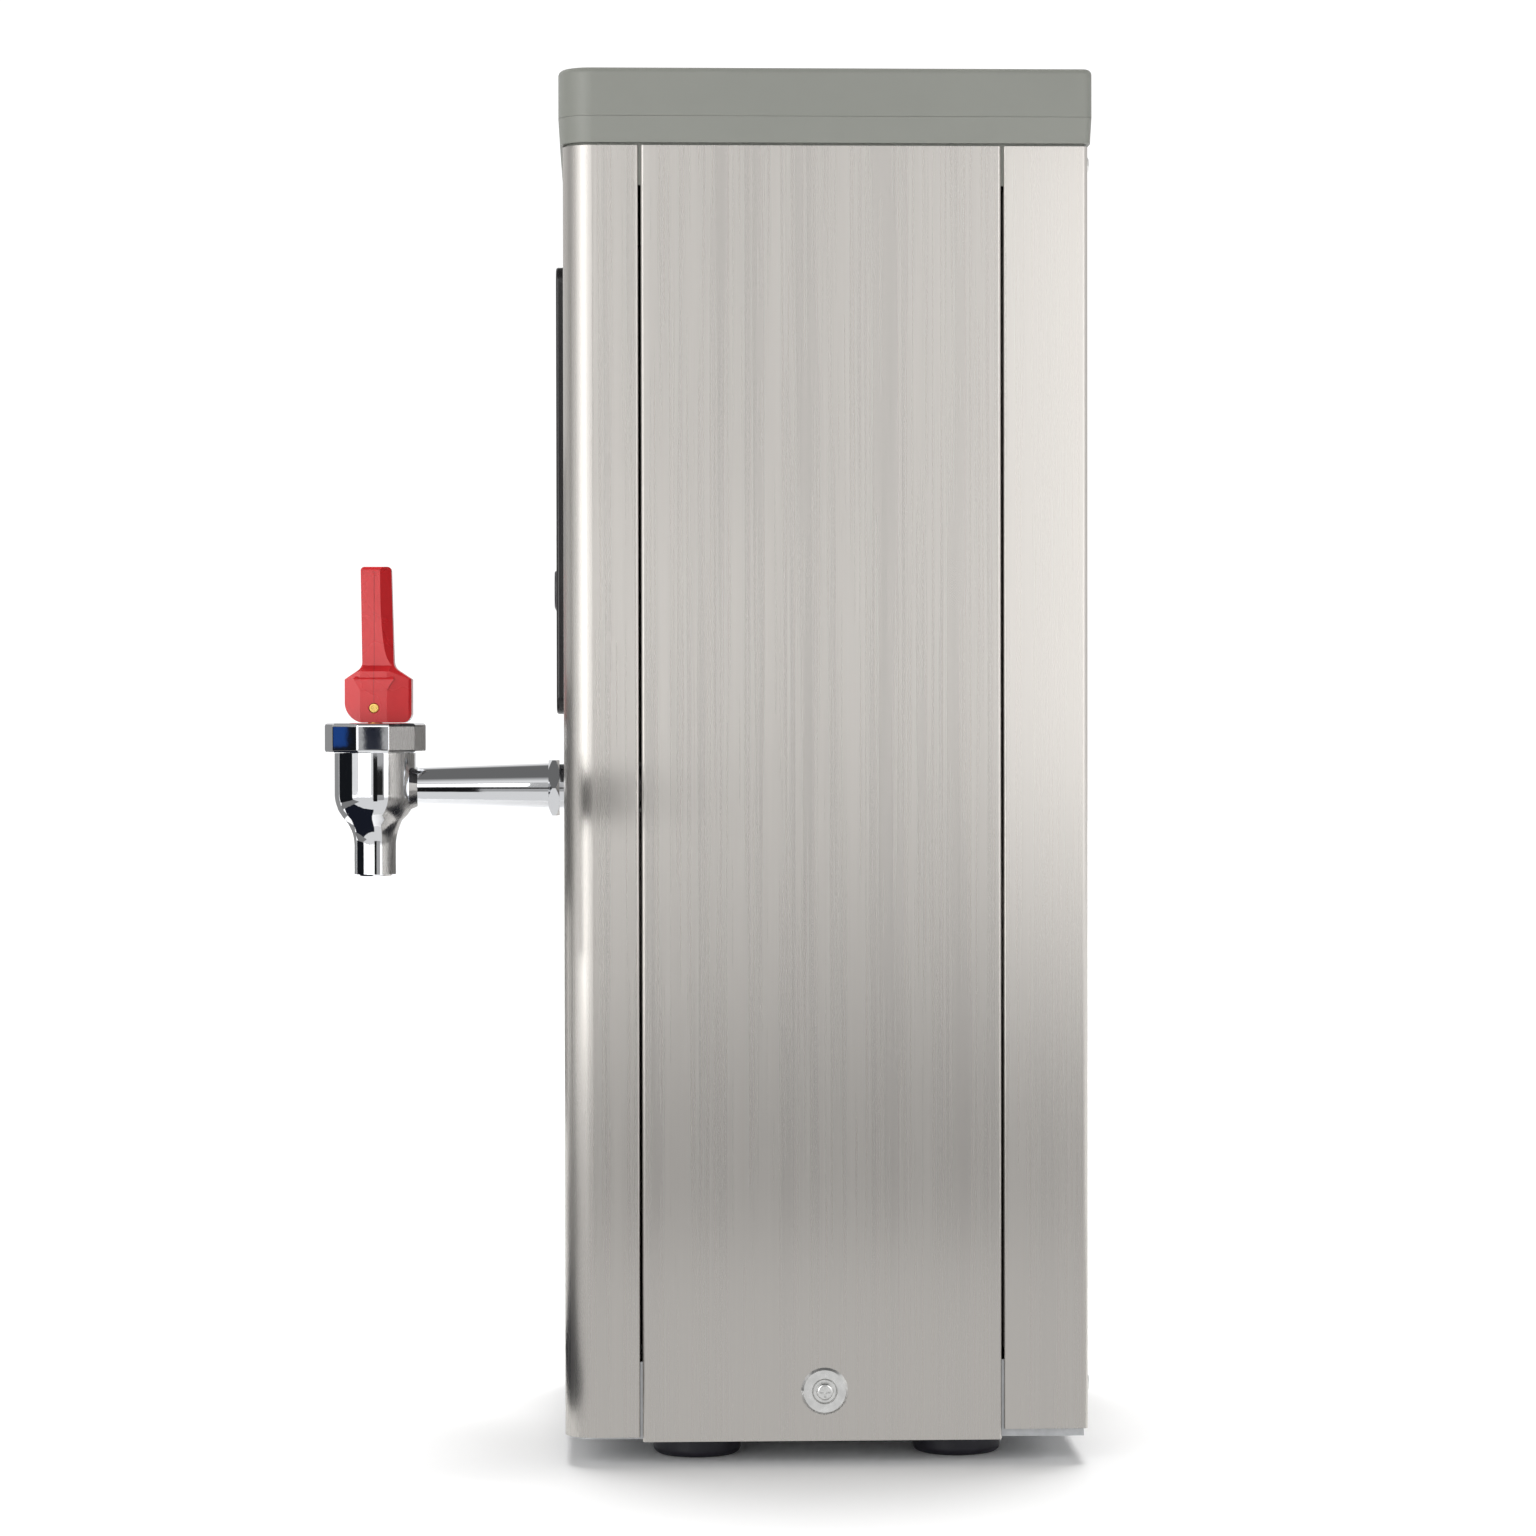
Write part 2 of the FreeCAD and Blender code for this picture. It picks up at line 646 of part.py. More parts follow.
def fascia_bezel():
    """A moulded strip on the front panel, with posts behind it for the display board."""
    face_y = FRONT_Y - FASCIA_PROUD
    plate = upright_plate(
        -FASCIA_HALF_WIDTH, FASCIA_HALF_WIDTH, FASCIA_BOTTOM, FASCIA_TOP, FASCIA_RADIUS, face_y, FRONT_Y
    )
    plate = plate.makeFillet(1.0, edges_where(plate, lambda box: box.YMax < face_y + 0.01))
    half = CUTOUT_HALF_WIDTH - 0.3
    z0, z1 = CUTOUT_BOTTOM + 0.3, CUTOUT_TOP - 0.3
    wall = upright_plate(-half, half, z0, z1, 4.7, FRONT_Y - 0.5, FRONT_Y + 8.0)
    hollow = upright_plate(2.0 - half, half - 2.0, z0 + 2.0, z1 - 2.0, 2.7, FRONT_Y, FRONT_Y + 9.0)
    post_length = BOARD_Y - FRONT_Y + 0.5
    posts = [rod(3.0, post_length, V(x, FRONT_Y - 0.5, z), Y_AXIS) for x, z in board_posts()]
    pilots = [rod(1.25, 9.0, V(x, BOARD_Y - 9.0, z), Y_AXIS) for x, z in board_posts()]
    bezel = fuse(cut(wall, hollow), plate, *posts)
    recess_y = face_y + WINDOW_THICKNESS
    half = WINDOW_HALF_WIDTH
    z0, z1 = WINDOW_BOTTOM, WINDOW_TOP
    recess = upright_plate(-half, half, z0, z1, 3.0, face_y - 1.0, recess_y)
    half, z0, z1 = half - WINDOW_LEDGE, z0 + WINDOW_LEDGE, z1 - WINDOW_LEDGE
    sight = upright_plate(-half, half, z0, z1, 2.0, face_y, FRONT_Y + 1.0)
    hole_radius = BUTTON_RADIUS + BUTTON_GAP
    holes = [rod(hole_radius, 6.0, V(x, face_y - 1.0, BUTTON_Z), Y_AXIS) for x in button_places()]
    lenses = [rod(LENS_RADIUS + 0.05, 6.0, V(x, face_y - 1.0, LENS_Z), Y_AXIS) for x in button_places()]
    return cut(bezel, recess, sight, *(holes + lenses + pilots))


def board_posts():
    heights = (CUTOUT_BOTTOM + BOARD_POST_INSET, CUTOUT_TOP - BOARD_POST_INSET)
    return [(x, z) for z in heights for x in both_sides(BOARD_POST_X)]


def display_window():
    face_y = FRONT_Y - FASCIA_PROUD
    gap = 0.1
    return upright_plate(
        gap - WINDOW_HALF_WIDTH,
        WINDOW_HALF_WIDTH - gap,
        WINDOW_BOTTOM + gap,
        WINDOW_TOP - gap,
        2.9,
        face_y,
        face_y + WINDOW_THICKNESS,
    )


def display_module():
    """A block of three lit numerals on the board behind the window."""
    housing = block(-30.0, 30.0, BOARD_Y - 9.0, BOARD_Y, 396.0, 428.0)
    bevel = edges_where(housing, lambda box: box.YMax < BOARD_Y - 8.9)
    return housing.makeChamfer(0.8, bevel)


def display_board():
    board = block(-57.0, 57.0, BOARD_Y, BOARD_Y + BOARD_THICKNESS, CUTOUT_BOTTOM + 3, CUTOUT_TOP - 3)
    holes = [rod(1.4, 4.0, V(x, BOARD_Y - 1, z), Y_AXIS) for x, z in board_posts()]
    return cut(board, *holes)


def fascia_screws():
    back = BOARD_Y + BOARD_THICKNESS
    return group([pan_screw(V(x, back, z), Y_AXIS, 7.0, 1.2, 2.4) for x, z in board_posts()])


def push_button(x):
    """A round key with a dished face, a retaining flange and a plunger."""
    front = FRONT_Y - FASCIA_PROUD - BUTTON_PROUD
    key = rod(BUTTON_RADIUS, FRONT_Y - front + 0.4, V(x, front, BUTTON_Z), Y_AXIS)
    key = key.makeFillet(0.7, edges_where(key, lambda box: box.YMax < front + 0.01))
    dish = Part.makeSphere(40.0, V(x, front - 39.6, BUTTON_Z))
    flange = rod(BUTTON_RADIUS + 1.6, 1.0, V(x, FRONT_Y + 0.2, BUTTON_Z), Y_AXIS)
    plunger_end = BOARD_Y - 3.5 - BUTTON_TRAVEL - 0.3
    plunger = rod(2.0, plunger_end - FRONT_Y, V(x, FRONT_Y, BUTTON_Z), Y_AXIS)
    return cut(fuse(key, flange, plunger), dish)


def tact_switches():
    switches = []
    for x in button_places():
        switches.append(block(x - 3, x + 3, BOARD_Y - 3.5, BOARD_Y, BUTTON_Z - 3, BUTTON_Z + 3))
    return group(switches)


def indicator_lenses():
    front = FRONT_Y - FASCIA_PROUD - 0.3
    return group([rod(LENS_RADIUS, 9.0, V(x, front, LENS_Z), Y_AXIS) for x in button_places()])


# Tap

def s_curve_edges():
    """Two equal tangent arcs from the spout up to the full body."""
    rise = CURVE_TOP - CURVE_BOTTOM
    spread = TAP_RADIUS - SPOUT_RADIUS
    radius = (rise ** 2 + spread ** 2) / (4.0 * spread)
    half_angle = math.asin(rise / 2.0 / radius) / 2.0
    dx = radius * (1.0 - math.cos(half_angle))
    dz = radius * math.sin(half_angle)
    bottom = V(SPOUT_RADIUS, 0, CURVE_BOTTOM)
    middle = V((SPOUT_RADIUS + TAP_RADIUS) / 2.0, 0, (CURVE_BOTTOM + CURVE_TOP) / 2.0)
    top = V(TAP_RADIUS, 0, CURVE_TOP)
    lower = Part.Arc(bottom, bottom + V(dx, 0, dz), middle)
    upper = Part.Arc(middle, top - V(dx, 0, dz), top)
    return [lower.toShape(), upper.toShape()]


def chain(points):
    ends = [V(x, 0, z) for x, z in points]
    return [Part.makeLine(a, b) for a, b in zip(ends, ends[1:])]


def tap_body():
    """A turned body with a valve chamber, a spout and a socket for the shank."""
    shoulder_z = COLLAR_BOTTOM - 0.1
    lip = 0.7
    edges = chain([
        (0, SPOUT_BOTTOM),
        (SPOUT_RADIUS - lip, SPOUT_BOTTOM),
        (SPOUT_RADIUS, SPOUT_BOTTOM + lip),
        (SPOUT_RADIUS, CURVE_BOTTOM),
    ])
    edges += s_curve_edges()
    edges += chain([
        (TAP_RADIUS, CURVE_TOP),
        (TAP_RADIUS, shoulder_z),
        (NECK_RADIUS, shoulder_z),
        (NECK_RADIUS, NECK_TOP),
        (0, NECK_TOP),
        (0, SPOUT_BOTTOM),
    ])
    body = Part.Face(Part.Wire(edges)).revolve(V(0, 0, 0), Z_AXIS, 360)
    body.translate(V(0, TAP_Y, 0))
    boss_start = TAP_Y + TAP_RADIUS - 2.6
    boss_length = SHANK_START_Y - boss_start
    boss_base = V(0, boss_start, SHANK_Z)
    boss = Part.makeCone(SHANK_RADIUS_TAP + 2.0, SHANK_RADIUS_TAP + 0.2, boss_length, boss_base, Y_AXIS)
    chamber = rod(CHAMBER_RADIUS, NECK_TOP - SEAT_Z, V(0, TAP_Y, SEAT_Z))
    outlet = rod(SPOUT_BORE, SEAT_Z - SPOUT_BOTTOM, V(0, TAP_Y, SPOUT_BOTTOM))
    socket = rod(SHANK_NOSE_RADIUS + 0.05, SHANK_START_Y - TAP_Y, V(0, TAP_Y, SHANK_Z), Y_AXIS)
    return cut(fuse(body, boss), chamber, outlet, socket)


def tap_shank():
    """A tapering tube with a nose in the tap body, a threaded tail and a hose barb."""
    nose_start = TAP_Y + CHAMBER_RADIUS + 0.1
    nose = rod(SHANK_NOSE_RADIUS, SHANK_START_Y - nose_start, V(0, nose_start, SHANK_Z), Y_AXIS)
    cone_length = SHANK_NUT_Y - SHANK_START_Y
    cone_base = V(0, SHANK_START_Y, SHANK_Z)
    cone = Part.makeCone(SHANK_RADIUS_TAP, SHANK_RADIUS_NUT, cone_length, cone_base, Y_AXIS)
    tail = rod(THREAD_RADIUS, THREAD_END_Y - SHANK_NUT_Y, V(0, SHANK_NUT_Y, SHANK_Z), Y_AXIS)
    barb = rod(BARB_RADIUS, BARB_END_Y - THREAD_END_Y, V(0, THREAD_END_Y, SHANK_Z), Y_AXIS)
    bore = rod(SHANK_BORE, BARB_END_Y - nose_start, V(0, nose_start, SHANK_Z), Y_AXIS)
    return cut(fuse(nose, cone, tail, barb), bore)


def tap_collar():
    """A ten-sided ring nut, with a flat facing each side, that holds the bonnet down."""
    points = []
    for step in range(COLLAR_SIDES):
        angle = 2.0 * math.pi * (step + 0.5) / COLLAR_SIDES
        x = COLLAR_RADIUS * math.cos(angle)
        y = TAP_Y + COLLAR_RADIUS * math.sin(angle)
        points.append((x, y, COLLAR_BOTTOM))
    ring = polygon_prism(points, V(0, 0, COLLAR_TOP - COLLAR_BOTTOM))
    ring = ring.makeFillet(COLLAR_EDGE, ring.Edges)
    thread = rod(NECK_RADIUS + 0.1, BONNET_STEP_Z - COLLAR_BOTTOM, V(0, TAP_Y, COLLAR_BOTTOM))
    mouth = rod(BONNET_BOSS_RADIUS + 0.1, COLLAR_TOP - COLLAR_BOTTOM, V(0, TAP_Y, COLLAR_BOTTOM))
    return cut(ring, thread, mouth)


def tap_bonnet():
    """The guide plate that the stem slides through."""
    hub = rod(CHAMBER_RADIUS - 0.3, NECK_TOP - BONNET_HUB_BOTTOM, V(0, TAP_Y, BONNET_HUB_BOTTOM))
    flange = rod(NECK_RADIUS - 0.1, BONNET_STEP_Z - NECK_TOP, V(0, TAP_Y, NECK_TOP))
    boss = rod(BONNET_BOSS_RADIUS, COLLAR_TOP - BONNET_STEP_Z, V(0, TAP_Y, BONNET_STEP_Z))
    guide = rod(STEM_RADIUS + 0.06, COLLAR_TOP - BONNET_HUB_BOTTOM, V(0, TAP_Y, BONNET_HUB_BOTTOM))
    return cut(fuse(hub, flange, boss), guide)


def valve_stem():
    """A round stem with a spring flange near its foot and an eye for the lever pin."""
    stem = rod(STEM_RADIUS, STEM_TOP - SEAT_Z - 2.2, V(0, TAP_Y, SEAT_Z + 2.2))
    stem = stem.makeFillet(0.6, edges_where(stem, lambda box: box.ZMin > STEM_TOP - 0.01))
    flange = rod(7.0, SPRING_SEAT_Z - CUP_SEAL_TOP - 0.1, V(0, TAP_Y, CUP_SEAL_TOP + 0.1))
    eye = rod(PIN_RADIUS + 0.02, 4.0 * STEM_RADIUS, V(-2.0 * STEM_RADIUS, PIN_Y, PIN_Z), X_AXIS)
    return cut(fuse(stem, flange), eye)


def seat_cup():
    """The silicone cup that closes the seat."""
    bottom = SEAT_Z + 0.2
    cup = rod(CUP_SEAL_RADIUS, CUP_SEAL_TOP - bottom, V(0, TAP_Y, bottom))
    cup = cup.makeChamfer(1.2, edges_where(cup, lambda box: box.ZMax < bottom + 0.01))
    socket = rod(STEM_RADIUS + 0.02, CUP_SEAL_TOP - SEAT_Z - 2.1, V(0, TAP_Y, SEAT_Z + 2.1))
    return cut(cup, socket)


def tap_spring():
    bottom = SPRING_SEAT_Z + SPRING_WIRE + 0.1
    top = BONNET_HUB_BOTTOM - SPRING_WIRE - 0.1
    radius = 5.2
    helix = Part.makeHelix((top - bottom) / SPRING_TURNS, top - bottom, radius)
    section = Part.Wire(Part.makeCircle(SPRING_WIRE, V(radius, 0, 0), Y_AXIS))
    coil = Part.Wire(helix.Edges).makePipeShell([section], True, True)
    coil.translate(V(0, TAP_Y, bottom))
    return coil


def lever_pin():
    half = FACET_HALF_WIDTH - 0.3
    pin = rod(PIN_RADIUS, 2.0 * half, V(-half, PIN_Y, PIN_Z), X_AXIS)
    ends = edges_where(pin, lambda box: box.XLength < 0.01)
    return pin.makeFillet(0.5, ends)


def cam_point(tilt):
    """Where the foot of the lever rests on the bonnet at a tilt, seen from the lever's pin."""
    height = CAM_HEIGHT + CAM_LIFT * tilt
    y = -height * math.sin(tilt) - CAM_LIFT * math.cos(tilt)
    z = -height * math.cos(tilt) + CAM_LIFT * math.sin(tilt)
    return y, z


def lever_point(y, z, x=0.0):
    return V(x, PIN_Y + y, PIN_Z + z)


def lever_outline():
    """The lever's side outline, from its cam foot up to the finger end."""
    cam = [lever_point(*cam_point(TILT_LIMIT * step / 6.0)) for step in range(7)]
    curve = Part.BSplineCurve()
    curve.interpolate(cam)
    front, rear = LEVER_FRONT, LEVER_REAR
    shoulder, neck, top = LEVER_SHOULDER, LEVER_NECK, LEVER_TOP
    neck_front, neck_rear = lever_point(-4.8, neck), lever_point(7.8, neck)
    top_front, top_rear = lever_point(-5.4, top), lever_point(6.8, top)
    flare_front, flare_rear = lever_point(-6.4, neck - 3.4), lever_point(9.6, neck - 3.4)
    edges = [curve.toShape()]
    edges.append(Part.Arc(cam[-1], lever_point(-11.15, -0.85), lever_point(front, 3.0)).toShape())
    edges.append(Part.makeLine(lever_point(front, 3.0), lever_point(front, shoulder)))
    edges.append(Part.makeLine(lever_point(front, shoulder), flare_front))
    edges.append(Part.Arc(flare_front, lever_point(-5.2, neck - 1.9), neck_front).toShape())
    edges.append(Part.makeLine(neck_front, top_front))
    edges.append(Part.makeLine(top_front, top_rear))
    edges.append(Part.makeLine(top_rear, neck_rear))
    edges.append(Part.Arc(neck_rear, lever_point(8.3, neck - 1.9), flare_rear).toShape())
    edges.append(Part.makeLine(flare_rear, lever_point(rear, shoulder)))
    heel_top = lever_point(rear, LEVER_HEEL - CAM_HEIGHT)
    edges.append(Part.makeLine(lever_point(rear, shoulder), heel_top))
    bulge = LEVER_HEEL * (1.0 - math.sqrt(0.5))
    heel = lever_point(rear - bulge, bulge - CAM_HEIGHT)
    sole = lever_point(rear - LEVER_HEEL, -CAM_HEIGHT)
    edges.append(Part.Arc(heel_top, heel, sole).toShape())
    edges.append(Part.makeLine(sole, cam[0]))
    return Part.Wire(edges)


def lever_slab(half_width):
    slab = Part.Face(lever_outline()).extrude(V(2.0 * half_width, 0, 0))
    slab.translate(V(-half_width, 0, 0))
    return slab


def rear_bevel(side):
    """The wedge cut off a rear edge. Its line on the cheek runs up the handle from the shoulder."""
    x = side * CHEEK_HALF_WIDTH
    line = Part.BSplineCurve()
    line.interpolate([lever_point(y, z, x) for y, z in BEVEL_LINE])
    first_y, first_z = BEVEL_LINE[0]
    last_y, last_z = BEVEL_LINE[-1]
    clear_y, clear_z = 2.0 * LEVER_REAR, -2.0 * CAM_HEIGHT
    places = [(last_y, last_z), (last_y, clear_z), (clear_y, clear_z), (clear_y, first_z), (first_y, first_z)]
    corners = [lever_point(y, z, x) for y, z in places]
    edges = [line.toShape()] + [Part.makeLine(a, b) for a, b in zip(corners, corners[1:])]
    across, back = BEVEL_CUT
    stroke = V(-side * across, back, 0)
    wedge = Part.Face(Part.Wire(edges)).extrude(stroke * 1.5)
    wedge.translate(stroke * -0.5)
    return wedge


def side_cutter(points):
    """A prism along Y that trims the lever. Its points are offsets from the pin in x and z."""
    start = -2.0 * LEVER_REAR
    return polygon_prism([lever_point(start, z, x) for x, z in points], V(0, -2.0 * start, 0))


def lever_relief(side):
    """The space beside the handle, which is narrower than the cheeks."""
    clear = side * 2.0 * FACET_HALF_WIDTH
    return side_cutter([
        (side * FACET_HALF_WIDTH, RELIEF_BOTTOM),
        (side * LEVER_NECK_HALF_WIDTH, RELIEF_BOTTOM + 2.4),
        (side * LEVER_TOP_HALF_WIDTH, LEVER_TOP + 0.6),
        (clear, LEVER_TOP + 0.6),
        (clear, RELIEF_BOTTOM),
    ])


def bulge_slope(side):
    """The space above the sloping shoulder of the raised middle of a cheek."""
    clear = side * 2.0 * FACET_HALF_WIDTH
    return side_cutter([
        (side * (FACET_HALF_WIDTH + BULGE_RISE), LEVER_SHOULDER),
        (side * (LEVER_NECK_HALF_WIDTH + BULGE_RISE), LEVER_SHOULDER + 3.8),
        (side * (LEVER_NECK_HALF_WIDTH - 0.4), LEVER_SHOULDER + 8.4),
        (clear, LEVER_SHOULDER + 8.4),
        (clear, LEVER_SHOULDER),
    ])


def cheek_slope(side, inner_y, outer_y):
    """The wedge that slopes a cheek away from its raised middle."""
    low = PIN_Z - 2.0 * CAM_HEIGHT
    high = PIN_Z + RELIEF_BOTTOM
    places = [
        (FACET_HALF_WIDTH, inner_y),
        (CHEEK_EDGE_HALF_WIDTH, outer_y),
        (CHEEK_EDGE_HALF_WIDTH, 2.0 * outer_y),
        (2.0 * FACET_HALF_WIDTH, 2.0 * outer_y),
        (2.0 * FACET_HALF_WIDTH, inner_y),
    ]
    return polygon_prism([(side * x, PIN_Y + y, low) for x, y in places], V(0, 0, high - low))


def lever():
    """A moulded paddle with two cheeks that straddle the stem and roll on the bonnet."""
    blank = cut(lever_slab(FACET_HALF_WIDTH), lever_relief(1), lever_relief(-1))
    crown = edges_where(blank, lambda box: box.ZMin > PIN_Z + LEVER_TOP - 1.0)
    blank = blank.makeFillet(CROWN_EDGE, crown)
    slopes = [cheek_slope(side, FACET_FRONT, LEVER_FRONT) for side in (1, -1)]
    slopes += [cheek_slope(side, FACET_REAR, LEVER_REAR) for side in (1, -1)]
    blank = cut(blank, rear_bevel(1), rear_bevel(-1), *slopes)
    half = FACET_HALF_WIDTH + BULGE_RISE
    bulge = polygon_prism([lever_point(y, z, -half) for y, z in BULGE_OUTLINE], V(2.0 * half, 0, 0))
    bulge = cut(bulge, bulge_slope(1), bulge_slope(-1))
    solid = fuse(blank, bulge)
    slot_round = rod(SLOT_RADIUS, 2.0 * SLOT_HALF_WIDTH, V(-SLOT_HALF_WIDTH, PIN_Y, PIN_Z), X_AXIS)
    y0, y1 = PIN_Y - 20.0, PIN_Y + 4.6
    slot_mouth = block(-SLOT_HALF_WIDTH, SLOT_HALF_WIDTH, y0, y1, PIN_Z - 10.0, PIN_Z + 1.0)
    hole = rod(PIN_RADIUS + 0.06, 30.0, V(-15.0, PIN_Y, PIN_Z), X_AXIS)
    return cut(solid, slot_round, slot_mouth, hole)


def shank_nut():
    """A thin hexagon nut with one corner towards each side and a round flange on the panel."""
    face = V(0, SHANK_NUT_Y, SHANK_Z)
    nut = hexagon(SHANK_NUT_FLATS, SHANK_NUT_THICKNESS, face, Y_AXIS)
    small = SHANK_NUT_FLATS / 2.0 + 0.2
    large = small + SHANK_NUT_THICKNESS
    nut = nut.common(Part.makeCone(small, large, SHANK_NUT_THICKNESS, face, Y_AXIS))
    nut = nut.common(Part.makeCone(large, small, SHANK_NUT_THICKNESS, face, Y_AXIS))
    flange = rod(SHANK_FLANGE_RADIUS, FRONT_Y - SHANK_NUT_Y, face, Y_AXIS)
    return cut(fuse(nut, flange), rod(THREAD_RADIUS + 0.05, FRONT_Y - SHANK_NUT_Y, face, Y_AXIS))


def tap_lock_nut():
    start = FRONT_Y + SHEET
    nut = hexagon(24.0, 6.0, V(0, start, SHANK_Z), Y_AXIS)
    return cut(nut, rod(THREAD_RADIUS + 0.05, 6.0, V(0, start, SHANK_Z), Y_AXIS))


# Tank and water side

def tank_prism(grow, z0, z1):
    half = TANK_HALF_WIDTH + grow
    return rounded_prism(-half, half, TANK_FRONT - grow, TANK_REAR + grow, TANK_RADIUS + grow, z0, z1)


def inner_tank():
    """A welded pot, open at the top, with an outlet and a drain stub under it."""
    hollow = tank_prism(-TANK_WALL, TANK_BOTTOM + TANK_WALL, TANK_TOP)
    shell = cut(tank_prism(0.0, TANK_BOTTOM, TANK_TOP), hollow)
    stub_bottom = TANK_BOTTOM - 14.0
    stubs = [
        rod(OUTLET_RADIUS, 14.5, V(0, OUTLET_Y, stub_bottom)),
        rod(HOSE_BORE - 0.1, 14.5, V(DRAIN_X, DRAIN_Y, stub_bottom)),
    ]
    bores = [
        rod(OUTLET_RADIUS - 1.0, 20.0, V(0, OUTLET_Y, stub_bottom)),
        rod(HOSE_BORE - 1.0, 20.0, V(DRAIN_X, DRAIN_Y, stub_bottom)),
        rod(HEATER_FLANGE_RADIUS - 6.0, 8.0, V(HEATER_X, HEATER_Y, TANK_BOTTOM - 2.0)),
    ]
    return cut(fuse(shell, *stubs), *bores)


def tank_lid():
    """A plate that closes the tank, with a filling stub and holes for the probes."""
    plate = tank_prism(1.0, TANK_LID_BOTTOM, TANK_LID_TOP)
    stub = rod(HOSE_BORE - 0.1, 12.0, V(FILL_X, FILL_Y, TANK_LID_BOTTOM))
    bore = rod(HOSE_BORE - 1.0, 20.0, V(FILL_X, FILL_Y, TANK_LID_BOTTOM - 2.0))
    holder = rod(10.0, 8.0, V(PROBE_X, PROBE_Y, TANK_LID_BOTTOM - 2.0))
    sensor = rod(SENSOR_RADIUS + 0.1, 8.0, V(0, SENSOR_Y, TANK_LID_BOTTOM - 2.0))
    return cut(fuse(plate, stub), bore, holder, sensor)


def insulation_jacket():
    return cut(tank_prism(JACKET, TANK_BOTTOM, TANK_TOP), tank_prism(0.2, TANK_BOTTOM, TANK_TOP))


def tank_shelf():
    """A folded shelf that carries the tank."""
    y0, y1 = TANK_FRONT - 6.0, TANK_REAR + 6.0
    half = HALF_WIDTH - 10.5
    plate = block(-half, half, y0, y1, SHELF_TOP - SHEET, SHELF_TOP)
    lips = [block(-half, half, y, y + SHEET, SHELF_TOP - 16.0, SHELF_TOP) for y in (y0, y1 - SHEET)]
    low = SHELF_TOP - 4.0
    holes = [
        rod(9.4, 8.0, V(0, OUTLET_Y, low)),
        rod(HEATER_FLANGE_RADIUS + 2.0, 8.0, V(HEATER_X, HEATER_Y, low)),
        rod(HOSE_RADIUS + 2.0, 8.0, V(DRAIN_X, DRAIN_Y, low)),
        rod(HOSE_RADIUS + 2.0, 8.0, V(FILL_RUN_X, FILL_Y, low)),
    ]
    return cut(fuse(plate, *lips), *holes)


def shelf_bracket(side):
    """An angle on the inside of a side panel, under the shelf."""
    wall_x = side * (HALF_WIDTH - SHEET)
    x0, x1 = sorted((wall_x, wall_x - side * SHEET))
    upright = block(x0, x1, 0.0, 96.0, SHELF_TOP - 28.0, SHELF_TOP - SHEET)
    x0, x1 = sorted((wall_x, wall_x - side * 18.0))
    ledge = block(x0, x1, 0.0, 96.0, SHELF_TOP - 2.0 * SHEET, SHELF_TOP - SHEET)
    pass_hole = rod(HOSE_RADIUS + 0.8, 8.0, V(FILL_RUN_X, FILL_Y, SHELF_TOP - 5.0))
    return cut(fuse(upright, ledge), pass_hole)


def heating_element():
    """A bent immersion heater brazed into a round flange with two terminals."""
    x0, x1 = HEATER_X - HEATER_SPREAD, HEATER_X + HEATER_SPREAD
    y0, y1 = HEATER_Y - 0.5, HEATER_Y + 0.5
    foot_z = TANK_BOTTOM - HEATER_FLANGE
    route = [
        (x0, HEATER_Y, foot_z),
        (x0, HEATER_Y, HEATER_TOP),
        (x1, HEATER_Y, HEATER_TOP),
        (x1, HEATER_Y, foot_z),
    ]
    loop = pipe(route, HEATER_ROD, 0.0, HEATER_BEND)
    flange = rod(HEATER_FLANGE_RADIUS, HEATER_FLANGE, V(HEATER_X, HEATER_Y, foot_z))
    tabs = [block(x - 3.0, x + 3.0, y0, y1, foot_z - HEATER_TAB, foot_z) for x in (x0, x1)]
    return fuse(flange, loop, *tabs)


def probe_places():
    turns = [math.radians(120.0 * step) for step in range(3)]
    return [(PROBE_X + PROBE_CIRCLE * math.cos(t), PROBE_Y + PROBE_CIRCLE * math.sin(t)) for t in turns]


def probe_holder():
    """A silicone plug in the tank lid that insulates the level probes."""
    plug = fuse(
        rod(9.8, LID_PLATE + 4.0, V(PROBE_X, PROBE_Y, TANK_LID_BOTTOM - 4.0)),
        rod(13.0, 6.0, V(PROBE_X, PROBE_Y, TANK_LID_TOP)),
    )
    start = TANK_LID_BOTTOM - 6.0
    return cut(plug, *[rod(PROBE_RADIUS + 0.1, 20.0, V(x, y, start)) for x, y in probe_places()])


def level_probes():
    head = TANK_LID_TOP + PROBE_HEAD
    places = zip(PROBE_TIPS, probe_places())
    return group([rod(PROBE_RADIUS, head - tip, V(x, y, tip)) for tip, (x, y) in places])


def temperature_probe():
    sheath = rod(SENSOR_RADIUS, SENSOR_DEPTH, V(0, SENSOR_Y, TANK_LID_TOP - SENSOR_DEPTH))
    head = hexagon(12.0, 7.0, V(0, SENSOR_Y, TANK_LID_TOP), Z_AXIS)
    return fuse(sheath, head)


def outlet_hose():
    """The silicone elbow from the tank's outlet to the tap's barb."""
    route = [
        (0.0, THREAD_END_Y + 3.0, SHANK_Z),
        (0.0, OUTLET_Y, SHANK_Z),
        (0.0, OUTLET_Y, TANK_BOTTOM - 4.0),
    ]
    return pipe(route, OUTLET_HOSE_RADIUS, OUTLET_RADIUS + 0.05, 14.0)


